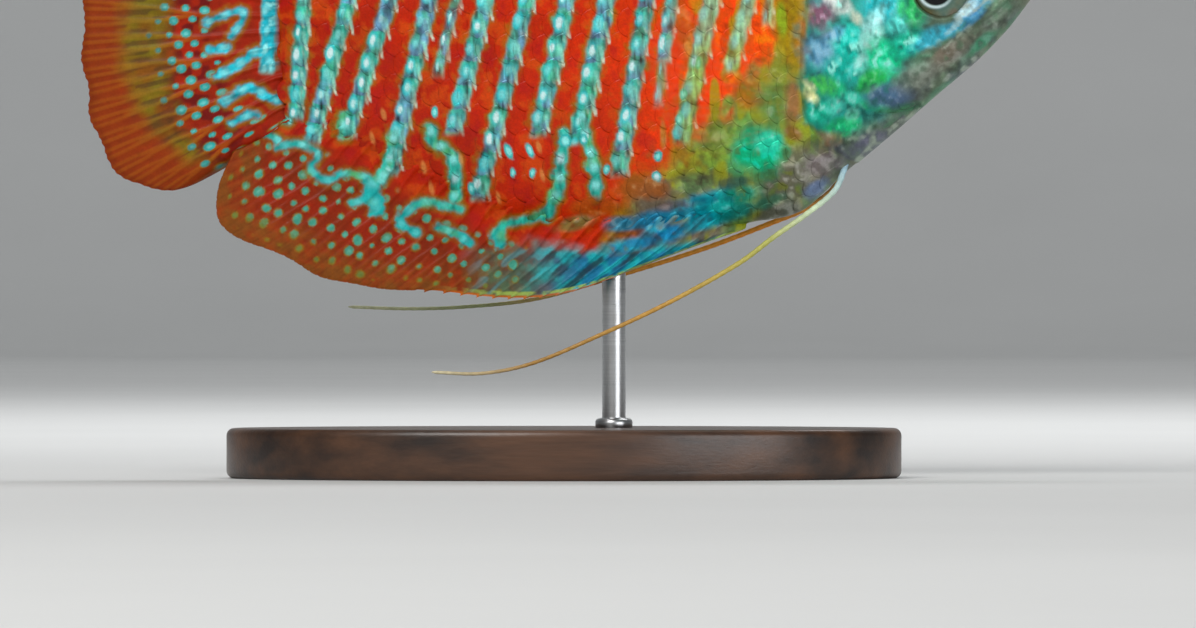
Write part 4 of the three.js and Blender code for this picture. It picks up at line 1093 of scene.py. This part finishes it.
def caudal_marks(points, plane):
    """Red with curls at the base, then dots, a streaked olive band and a rusty margin."""
    u, v, crest = plane
    x, z = points[:, 0], points[:, 2]
    fine, blur = grain(points, 0.5), grain(points, 2.5)
    side = np.abs(2 * u - 1)
    out = np.hypot(x - TAIL_BASE_X, 0.55 * (z - CAUDAL["root_z"])) * np.sign(v + 1e-9)
    red = mix((172, 30, 1), (142, 34, 2), noise(points, 1.1))
    colour = lit(red, 0.15 * blur + 0.15 * fine)
    reach = fall(0.84, 0.98, side)
    gaps = u * (CAUDAL["rays"] - 1) * 2
    streaks = noise(np.stack([0.5 * out, 2.7 * gaps, 0 * u], -1), 0.8)
    maroon = step(4.4, 5.8, out) * fall(9.5, 11.5, out) * (1 - crest) * step(0.35, 0.6, noise(points, 0.7))
    colour = mix(colour, MAROON, 0.7 * maroon)
    colour = mix(colour, lit((168, 84, 8), 0.2 * fine), 0.8 * step(5.5, 8, out) * step(0.35, 0.8, crest))
    olive = mix((116, 112, 18), (126, 80, 12), step(0.4, 0.7, noise(points, 1.6) + 0.3 * side**2))
    olive = mix(lit(olive, 0.3 * fine), (60, 56, 30), 0.65 * step(0.48, 0.64, streaks))
    olive = mix(olive, (150, 120, 34), 0.5 * step(0.6, 0.95, crest))
    zone = step(0.48, 0.66, v + 0.07 * blur) * fall(0.68, 0.9, v + 0.1 * blur + 0.1 * side**3) * reach
    colour = mix(colour, olive, 0.88 * zone)
    rust = lit(RUST, 0.14 * blur + 0.14 * fine)
    rust = mix(rust, (174, 96, 16), 0.35 * step(0.5, 0.9, crest))
    colour = mix(colour, rust, step(0.68, 0.9, v + 0.1 * blur + 0.1 * side**3 + 0.12 * (1 - reach)))
    colour = mix(colour, (108, 34, 2), 0.5 * step(0.95, 1, v))
    fade = step(7.5, 11, out)
    dots = dotted(gaps, out, 1.5, 0.33, 5.4 - 1.4 * side**2, 10.6 - 2.2 * side**2, 1.0)
    dots = dots * (1 - 0.35 * fade) * (0.3 + 0.7 * reach)
    around, body, middle = curl_layers(x, z, blur, fine, CAUDAL_CURLS + upper_curls())
    _, bar, _, _, core, _, _ = bar_layers(x, z, fine, BARS[:1])
    clear = fall(0.02, 0.2, np.maximum(body, bar))
    tint = mix((44, 166, 162), (88, 114, 100), fade) * (1 + 0.25 * fine)[:, None]
    colour = paint_dots(colour, dots * clear, tint, (124, 208, 206), 0.5)
    colour = mix(colour, FRINGE, 0.6 * np.maximum(around * (1 - body), 4 * bar * (1 - bar)))
    colour = mix(colour, lit((28, 172, 190), 0.8 * fine), np.maximum(body, bar))
    # Painted highlights: sparks and bright cores along the bar; the curls' middles take the same pale colour
    sparks = bar * step(0.05, 0.4, grain(points + 3, 0.6))
    colour = mix(colour, (150, 240, 240), np.maximum(0.5 * middle, np.maximum(core, 0.9 * sparks)))
    return np.clip(colour, 0, 1), 0.7 * np.maximum(np.maximum(body, bar), step(0.3, 0.8, dots))


def low_marks(points, plane, fin, curls):
    """Anal and dorsal fins: red and dotted behind, blue with dark streaks in front, with a rusty margin."""
    u, v, crest = plane
    x, z = points[:, 0], points[:, 2]
    fine, blur, clump = grain(points, 0.5), grain(points, 2.5), grain(points + 13, 1.1)
    length = smooth_curve(fin["lengths"])(u)
    out = v * length
    left = (1 - v) * length  # distance to the margin
    low = z if fin["up"] < 0 else 2 * middle_and_half(x)[0] - z
    across, along = turned(x, fin["up"] * z, RAY_LEAN)
    red = mix((156, 32, 1), (124, 40, 3), noise(points, 1.2))
    colour = lit(red, 0.15 * blur + 0.16 * fine)
    rust = mix((140, 48, 4), (120, 66, 14), step(-0.25, 0.3, clump)) * (1 + 0.4 * fine)[:, None]
    rust = mix(rust, (156, 88, 26), 0.3 * crest)
    colour = mix(colour, rust, 0.95 * fall(1.2, 4.8, left + 1.3 * blur))
    # The blue front, its far end greener and duller
    level = low + 16.1 - 0.2 * x + 0.9 * blur
    front = fall(-0.7, 0.5, level) * step(-9, -5.5, x + blur)
    green = fall(-5, 1.5, x + 1.5 * clump)
    blue = mix((0, 122, 164), (0, 168, 178), step(-0.25, 0.25, clump))
    dull = mix((20, 116, 70), (96, 98, 22), step(-0.05, 0.2, grain(points + 23, 0.8)))
    blue = lit(mix(blue, dull, 0.85 * green), 0.3 * fine)
    comb = across / 1.35 + 0.25 * blur
    dark = fall(0.1, 0.26, np.abs(comb - np.round(comb)) + 0.1 * fine)
    blue = mix(blue, (8, 46, 56), (0.85 - 0.45 * green) * dark * step(-0.5, 0.1, grain(points + 41, 1.5)))
    lights = noise(np.stack([0.55 * along, 0 * u, 1.5 * across], -1), 0.7)
    blue = mix(blue, (16, 186, 196), (0.9 - 0.3 * green) * (1 - dark) * step(0.55, 0.72, lights))
    colour = mix(colour, blue, front * (0.96 - 0.35 * green))
    around, body, middle = curl_layers(x, z, blur, fine, curls)
    clear = fall(0.02, 0.2, np.maximum(body, 0.8 * front * (1 - green)))
    faint = fall(1.2, 3.6, left)
    shift = 0.12 * clump
    dots = dotted(-across / 1.14 + shift, along + 0.3 * blur, 1.4, 0.34, -99, 99, 1.14)
    dots = dots * clear * step(0.5, 1.2, left) * (1 - 0.45 * faint)
    dots = dots * step(0.4, 1.4, out) * np.clip(0.9 + 1.6 * clump, 0.35, 1)
    tint = mix((70, 158, 136), (108, 122, 56), faint + 0.5 * step(0.1, 0.4, clump))
    colour = paint_dots(colour, dots, lit(tint, 0.25 * fine), (116, 190, 172), 0.45)
    colour = mix(colour, (140, 100, 18), 0.55 * around * (1 - body))
    curled = mix((22, 168, 166), (84, 174, 112), step(0.0, 0.5, clump))
    colour = mix(colour, lit(curled, 0.3 * fine), body)
    colour = mix(colour, (110, 220, 220), 0.5 * middle)
    shine = 0.65 * np.maximum(np.maximum(body, step(0.3, 0.8, dots)), 0.25 * front)
    if fin["up"] < 0:
        flank, gloss = flank_marks(x, z, np.stack([x, 0 * x, z], -1))
        share = step(0.1, 1.6, out + 0.8 * clump)
        colour, shine = mix(flank, colour, share), gloss + (shine - gloss) * share
    # A lime line and an orange margin, wider along the front's leaning rays
    edge = left * (0.42 + 0.58 * step(0.1, 0.5, u))
    lime = fall(0.14, 0.34, np.abs(edge - 0.5)) * step(-11, -4, x) * step(0.15, 0.5, out)
    colour = mix(colour, (160, 186, 84), 0.85 * lime * step(-0.6, 0, fine + clump))
    margin = fall(0.14, 0.34, edge) * step(-12, -7, x) * step(0.15, 0.5, out)
    colour = mix(colour, (206, 110, 30), 0.85 * margin)
    return np.clip(colour, 0, 1), shine


def median_place(fin):
    length_at, lean_at = smooth_curve(fin["lengths"]), smooth_curve(fin["leans"])

    def place(u, v):
        x = fin["from"] + (fin["to"] - fin["from"]) * u
        lean = np.radians(lean_at(u) * (0.86 + 0.14 * v))
        reach = np.where(v < 0, ROOT_DEPTH * v / MEDIAN_ROOT, length_at(u) * v)
        z = fin["edge"](x) + fin["up"] * (FIN_GAP * step(0, 0.1, v) + reach * np.cos(lean))
        y = fin["sway"] * u**3 * np.maximum(v, 0) ** 2
        return np.stack([x - reach * np.sin(lean), y, z], -1)

    return place


def fleshy_root(fin):
    """Flesh that carries the trunk's surface smoothly into the fin."""
    length_at = smooth_curve(fin["lengths"])

    def flesh(points, u, v):
        x, z = points[..., 0], points[..., 2]
        inward = fin["up"] * (fin["edge"](x) - z)
        tangent_at = 1.5
        wide = half_width(x) * (2 * tangent_at / middle_and_half(x)[1]) ** FLANK_POWER - 0.3
        slope = FLANK_POWER * (wide + 0.3) / tangent_at
        ends = step(0, 0.14, u) * fall(0.94, 1, u) * step(0, 3, (1 - v) * length_at(u))
        return wide * np.exp(np.minimum(inward - tangent_at, 0) * slope / wide) * ends

    return flesh


def caudal_place(u, v):
    t = 2 * u - 1
    angle = np.radians(CAUDAL["fan"] * t - CAUDAL["tilt"])
    reach = smooth_curve(CAUDAL["lengths"])(np.abs(t)) * v
    x = TAIL_BASE_X + CAUDAL["root_bow"] * t * t - FIN_GAP * (v > 0) - reach * np.cos(angle)
    return np.stack([x, CAUDAL["sway"] * v * v, CAUDAL["root_z"] - CAUDAL["root_half"] * t
                     - reach * np.sin(angle)], -1)


def raised_curls():
    """Curls for the dorsal fin, like those of the anal fin but above the back."""
    return [([(x + 0.8, float(2 * middle_and_half(x)[0] - z)) for x, z in points], half)
            for points, half in LOW_CURLS[2:6] + LOW_CURLS[8:11]]


def add_fin(name, node, slot, place, spines, soft, marks_of, material=FIN, **shape):
    points, faces, plane, uv = fin_mesh(place, spines, soft, **shape)
    marks, gloss = marks_of(points, plane)
    add_piece(name, world(points), facing_out(points, faces), material, slot, [node],
              marks=marks, uv=uv, Gloss=gloss, Ray=plane[2])


for fin_name, fin, fin_curls in (("dorsal", DORSAL, raised_curls()), ("anal", ANAL, LOW_CURLS)):
    add_fin(f"fin_{fin_name}", f"{fin_name}_fin", "median_fins", median_place(fin),
            fin["spines"], fin["soft"], lambda points, plane: low_marks(points, plane, fin, fin_curls),
            root=MEDIAN_ROOT, flesh=fleshy_root(fin))
add_fin("fin_caudal", "caudal_fin", "median_fins", caudal_place, 0, CAUDAL["rays"], caudal_marks,
        rows=130, columns=18)

# Pectoral fins
PECTORAL = {"x": 18.2, "z": -6.4, "root_half": 1.6, "rays": 9, "length": 12.8, "out": 24, "rise": 6,
            "fan": 26}


def clear_material():
    """A glassy membrane with paler, more solid rays."""
    glass = Surface("fin_clear")
    ray = glass.attribute("Ray")
    thin = glass.ranged(glass.noise(900), 0.005, 0.02)
    glass.feed(glass.shader, {
        "Base Color": glass.add("MixRGB", {"Fac": ray, "Color1": (0.42, 0.2, 0.07, 1),
                                           "Color2": (0.56, 0.3, 0.12, 1)}),
        "Alpha": glass.add("Math", {0: ray, 1: 0.04, 2: thin}, operation="MULTIPLY_ADD"),
        "Roughness": glass.ranged(glass.noise(2400), 0.15, 0.3),
    })
    glass.bump(glass.noise(6000), 0.3, 0.02 * MM)
    return glass.material


CLEAR = clear_material()


def flank_at(x, z):
    middle, half = middle_and_half(x)
    return half_width(x) * (1 - np.minimum(1, np.abs(z - middle) / half) ** 2) ** FLANK_POWER


def pectoral_place(side):
    out = math.radians(PECTORAL["out"])

    def place(u, v):
        t = 2 * u - 1
        angle = np.radians(PECTORAL["rise"] - PECTORAL["fan"] * t)
        reach = PECTORAL["length"] * (1 - 0.2 * t - 0.28 * np.abs(t) ** 2.5) * v
        root_z = PECTORAL["z"] - PECTORAL["root_half"] * t
        away = reach * np.cos(angle) - 0.35
        y = side * (flank_at(PECTORAL["x"], root_z) + away * math.sin(out) + 0.02 * away**2 * v)
        return np.stack([PECTORAL["x"] - away * math.cos(out), y, root_z + reach * np.sin(angle)], -1)

    return place


def clear_marks(points, plane):
    return np.ones((len(points), 3)) * linear(205, 190, 150), np.zeros(len(points))


for side_name, side in SIDES:
    slope = math.radians(PECTORAL["out"])
    add_fin(f"fin_pectoral_{side_name}", f"pectoral_fin_{side_name}", "clear_fins", pectoral_place(side),
            0, PECTORAL["rays"], clear_marks, CLEAR,
            normal=(math.sin(slope), side * math.cos(slope), 0), root=0.02, rows=60, membrane=0.14,
            ridge=0.3)

# Pelvic threads
THREADS = {
    "right": [(22.6, -0.8, -10.6), (21.7, -1.2, -12.9), (19.5, -1.9, -14.8), (16.8, -2.6, -16.7),
              (14, -3.2, -18.8), (8.5, -4.1, -21.9), (3, -4.7, -24.5), (-2.5, -5.1, -26.8),
              (-6.5, -5.3, -27.6), (-10.5, -5.4, -27.5)],
    "left": [(22.6, 0.8, -10.6), (21.6, 1.3, -12.8), (19.4, 2.0, -14.4), (16.8, 2.8, -15.5),
             (11.3, 4.2, -17.6), (3, 5.2, -20.2), (-2.5, 5.4, -21.7), (-8, 5.3, -22.3),
             (-12.5, 5.1, -22.45), (-17.4, 4.9, -22.3)],
}
THREAD_COLOURS = {  # share of the length, sRGB
    "right": [(0, (150, 190, 214)), (0.12, (206, 226, 190)), (0.25, (184, 184, 92)), (0.5, (196, 150, 72)),
              (0.8, (170, 130, 70)), (1, (214, 206, 170))],
    "left": [(0, (190, 150, 90)), (0.2, (226, 146, 50)), (0.5, (214, 146, 54)), (0.75, (150, 164, 116)),
             (1, (190, 196, 160))],
}
THREAD = marked_material("thread", mottle=0.15, metallic=0.1, rough=(0.3, 0.45), coat=0.3)


def add_thread(name, steps=320):
    points = np.array(THREADS[name], float)
    knots = np.concatenate([[0], np.cumsum(np.linalg.norm(np.diff(points, axis=0), axis=1))])
    share = np.linspace(0, 1, steps)
    radius = 0.23 - 0.1 * share + 0.06 * np.exp(-share / 0.03)
    radius = radius * (1 + 0.05 * np.sin(1.1 * np.arange(1, steps + 1)))
    radius = radius * np.sqrt(np.clip((1 - share) / 0.01, 0.05, 1))
    points, faces = tube(smooth_line(points, knots, steps), radius, (0, -1, 0), -0.8)
    uv = np.meshgrid(0.02 + 0.96 * share, np.linspace(0.1, 0.9, TUBE_SIDES), indexing="ij")
    uv = np.vstack([np.stack(uv, -1).reshape(-1, 2), (0.01, 0.5), (0.99, 0.5)])
    at = np.concatenate([np.repeat(share, TUBE_SIDES), [0, 1]])
    marks = lit(banded(THREAD_COLOURS[name], at), 0.2 * grain(points, 0.5) + 0.04 * np.sin(360 * at))
    add_piece(f"thread_{name}", world(points), facing_out(points, faces), THREAD, "threads",
              [f"pelvic_fin_{name}"], marks=marks, uv=uv, Gloss=np.full(len(points), 0.1))


for side_name in THREADS:
    add_thread(side_name)

# Eyes
EYE_WET = marked_material("eye_wet", mottle=0.12, metallic=0.2, rough=(0.2, 0.3), coat_rough=0.02,
                          bump_depth=0.004)
PUPIL = 1.16  # radius
PUPIL_SHIFT = (-0.64, -0.22)


def add_eye(name, side, rows=110, sides=160):
    """An eyeball: black pupil, thin silver ring, dark brown iris with a few bright flecks."""
    p, t = np.meshgrid(np.linspace(0, math.pi, rows)[1:-1], circle(sides), indexing="ij")
    radius, depth = EYE["radius"] - 0.02, EYE["depth"]
    rings = np.stack([radius * np.sin(p) * np.cos(t), radius * np.sin(p) * np.sin(t), depth * np.cos(p)], -1)
    local, faces = closed_rings(rings, (0, 0, depth), (0, 0, -depth))
    across, up, out = local.T
    a, b = across - PUPIL_SHIFT[0], up - PUPIL_SHIFT[1]
    r, theta = np.hypot(a, b * 1.04), np.arctan2(b, a)
    spokes = noise(np.stack([np.cos(theta) * 9, np.sin(theta) * 9, r * 1.4], -1), 1.0)
    blur = grain(local, 1.2)
    iris = mix((56, 56, 32), (122, 112, 74), (0.3 + 0.7 * spokes) * step(1.35, 1.9, r))
    iris = mix(iris, (78, 124, 118), 0.6 * step(0.1, 0.9, np.cos(theta + 0.4) + 0.5 * blur))
    iris = mix(iris, (48, 84, 52), 0.5 * step(0.2, 0.9, np.cos(theta + 2.9) + 0.5 * blur))
    iris = mix(iris, (150, 70, 34), 0.25 * step(1.5, 2.0, r) * step(0.55, 0.9, noise(local, 0.9)))
    ring = bell(r - PUPIL - 0.17, 0.12) * np.clip(0.6 + 0.6 * np.cos(theta + 2.3), 0.08, 1)
    iris = mix(iris, (212, 234, 236), ring)
    colour = mix(iris, (4, 4, 6), fall(PUPIL - 0.05, PUPIL + 0.07, r))
    # Painted shade: the eyeball darkens towards its rim, where it meets the socket
    colour = mix(colour, (30, 30, 22), 0.75 * step(2.15, 2.4, np.hypot(across, up)))
    colour = np.where((out < 0)[:, None], linear(30, 22, 18), colour)
    ahead, outward = turned(across, out, EYE["yaw"])
    points = np.stack([EYE["x"] + ahead, side * (EYE["y"] + outward), EYE["z"] + up], -1)
    uv = 0.5 + local[:, :2] / (2.2 * radius)
    uv[:, 0] = 0.5 * uv[:, 0] + 0.5 * (out < 0)
    add_piece(f"eyeball_{name}", world(points), facing_out(points, faces), EYE_WET, "eyes", [f"eye_{name}"],
              marks=colour, uv=uv, Gloss=0.6 * ring)


for side_name, side in SIDES:
    add_eye(side_name, side)

# Stand
BASE = {"length": 54, "width": 32, "thickness": 4, "chamfer": 0.6}
ROD = {"x": 4, "y": 2.7, "radius": 0.95, "top": SWIM_HEIGHT - 9}


def wood_material():
    """Dark stained wood: stretched grain under a satin varnish."""
    wood = Surface("stained_wood")
    fibres = wood.noise(5200, 4, (0.05, 1, 1))
    stain = wood.ramp(wood.noise(420, 6, (0.16, 1, 1)), (0.34, linear(38, 24, 16)),
                      (0.68, linear(92, 60, 38)))
    shade = {"Fac": 0.55, "Color1": stain, "Color2": wood.ranged(fibres, 0.45, 1.2)}
    wood.feed(wood.shader, {
        "Base Color": wood.add("MixRGB", shade, blend_type="MULTIPLY"),
        "Roughness": wood.ranged(fibres, 0.3, 0.48),
        "Coat Weight": 0.25, "Coat Roughness": 0.2,
    })
    wood.bump(fibres, 0.35, 0.05 * MM)
    return wood.material


def steel_material():
    """Brushed round the rod."""
    steel = Surface("brushed_steel")
    lines = steel.noise(2600, 3, (0.06, 0.06, 4))
    steel.feed(steel.shader, {
        "Base Color": steel.ramp(lines, (0, (0.42, 0.43, 0.44)), (1, (0.66, 0.67, 0.68))),
        "Metallic": 1.0, "Roughness": steel.ranged(lines, 0.22, 0.4),
    })
    steel.bump(lines, 0.25, 0.01 * MM)
    return steel.material


def lathe(name, profile, node, slot, material, sides, centre=(0, 0), stretch=1):
    """A turned piece from a profile of (radius, height); stretch widens it across the fish."""
    profile = np.array(profile, float)
    r, t = np.meshgrid(profile[:, 0], circle(sides), indexing="ij")
    x, y = centre[0] + r * np.cos(t), centre[1] + r * np.sin(t) * stretch
    rings = np.stack([x, y, profile[:, 1:] + 0 * t], -1)
    points, faces = closed_rings(rings, (*centre, profile[0, 1]), (*centre, profile[-1, 1]))
    add_piece(name, points * MM, facing_out(points, faces), material, slot, [node])


def rounded_edge(radius, low, high, bevel, steps=6):
    """The profile of a disc with rounded rims, from the middle of its underside to the middle of its top."""
    a = np.linspace(0, math.pi / 2, steps)
    under = [(radius - bevel * (1 - math.sin(t)), low + bevel * (1 - math.cos(t))) for t in a]
    over = [(radius - bevel * (1 - math.cos(t)), high - bevel * (1 - math.sin(t))) for t in a]
    flat = (0.35, 0.7, 0.9)
    return [(radius * k, low) for k in flat] + under + over + [(radius * k, high) for k in flat[::-1]]


lathe("stand_base_oval", rounded_edge(BASE["length"] / 2, 0, BASE["thickness"], BASE["chamfer"]),
      "stand_base", "base_wood", wood_material(), 160, stretch=BASE["width"] / BASE["length"])
COLLAR = [(1.5, 0), (1.5, 0.7), (1.42, 0.85), (1.25, 0.95), (ROD["radius"], 1.0), (ROD["radius"], 1.02)]
rod_low = BASE["thickness"] - 0.2
lathe("stand_rod_steel", [(r, rod_low + z) for r, z in COLLAR]
      + [(ROD["radius"], 14), (ROD["radius"], 20.3), (0.85, 20.6)],
      "stand_rod", "rod_steel", steel_material(), 48, centre=(ROD["x"], ROD["y"]))


# Room, light and camera
def floor_material():
    paper = Surface("pale_paper")
    tone = paper.ramp(paper.noise(14), (0, (0.6, 0.61, 0.61)), (1, (0.65, 0.66, 0.66)))
    paper.feed(paper.shader, {"Base Color": tone, "Roughness": 0.85})
    return paper.material


def add_floor():
    """A round floor that sweeps up into a wall on all sides, beyond any camera."""
    flat_to, bend, wall, sides = 2.3, 0.5, 2.2, 96
    turn = np.linspace(0, math.pi / 2, 12)[1:]
    radius = np.concatenate([np.linspace(0.1, flat_to, 22), flat_to + bend * np.sin(turn), [flat_to + bend]])
    height = np.concatenate([np.zeros(22), bend * (1 - np.cos(turn)), [wall]])
    r, a = np.meshgrid(radius, circle(sides), indexing="ij")
    points = np.stack([r * np.cos(a), r * np.sin(a), height[:, None] + 0 * a], -1).reshape(-1, 3)
    faces = np.vstack([grid_faces(len(radius), sides, closed=True),
                       fan_faces(np.arange(sides), len(points), True)])
    floor = make_mesh("floor", np.vstack([points, (0, 0, 0)]), faces, floor_material())


def add_light(name, place, aim, size, power, colour=(1, 1, 1)):
    light = bpy.data.lights.new(name, "AREA")
    light.shape = "RECTANGLE"
    light.size, light.size_y = size
    light.energy, light.color = power, colour
    lamp = add_object(name, light)
    lamp.location = place
    lamp.rotation_euler = (Vector(aim) - Vector(place)).to_track_quat("-Z", "Y").to_euler()


def add_camera():
    """A long lens, level, that keeps the photograph's framing of 1196 by 628."""
    frame_width = 95.68  # millimetres across the picture at the fish
    axis_x, axis_height = 2.72, 13.12  # what it looks at, in millimetres above the floor
    camera = bpy.data.cameras.new("camera")
    camera.lens, camera.sensor_width = 300, 36
    camera.clip_start, camera.clip_end = 0.01, 20
    distance = frame_width * camera.lens / camera.sensor_width
    eye = add_object("camera", camera)
    eye.location = (axis_x * MM, -distance * MM, axis_height * MM)
    eye.rotation_euler = (math.pi / 2, 0, 0)
    bpy.context.scene.camera = eye


add_floor()
middle = (0, 0, SWIM_HEIGHT * MM)
add_light("key", (-0.2, -0.45, 0.4), middle, (0.3, 0.3), 2.25, (1, 0.98, 0.95))
add_light("fill", (0.35, -0.45, 0.05), middle, (0.35, 0.3), 1.35, (0.97, 0.98, 1))
add_light("top", (0.05, 0.1, 0.6), middle, (0.5, 0.4), 0.7)
add_light("back", (0.1, 0.3, 0.5), (0, 0.6, 0.1), (0.5, 0.3), 3)
for far in (-1, 1):
    add_light(f"wall_{'near' if far < 0 else 'far'}", (0, 1.2 * far, 1.5), (0, 2.8 * far, 0.3), (2.4, 0.6),
              12)
scene_world = bpy.data.worlds.new("studio")
scene_world.use_nodes = True
sky = scene_world.node_tree.nodes["Background"]
sky.inputs["Color"].default_value = (0.9, 0.92, 0.94, 1)
sky.inputs["Strength"].default_value = 0.16
bpy.context.scene.world = scene_world
bpy.context.scene.view_settings.view_transform = "Standard"
add_camera()
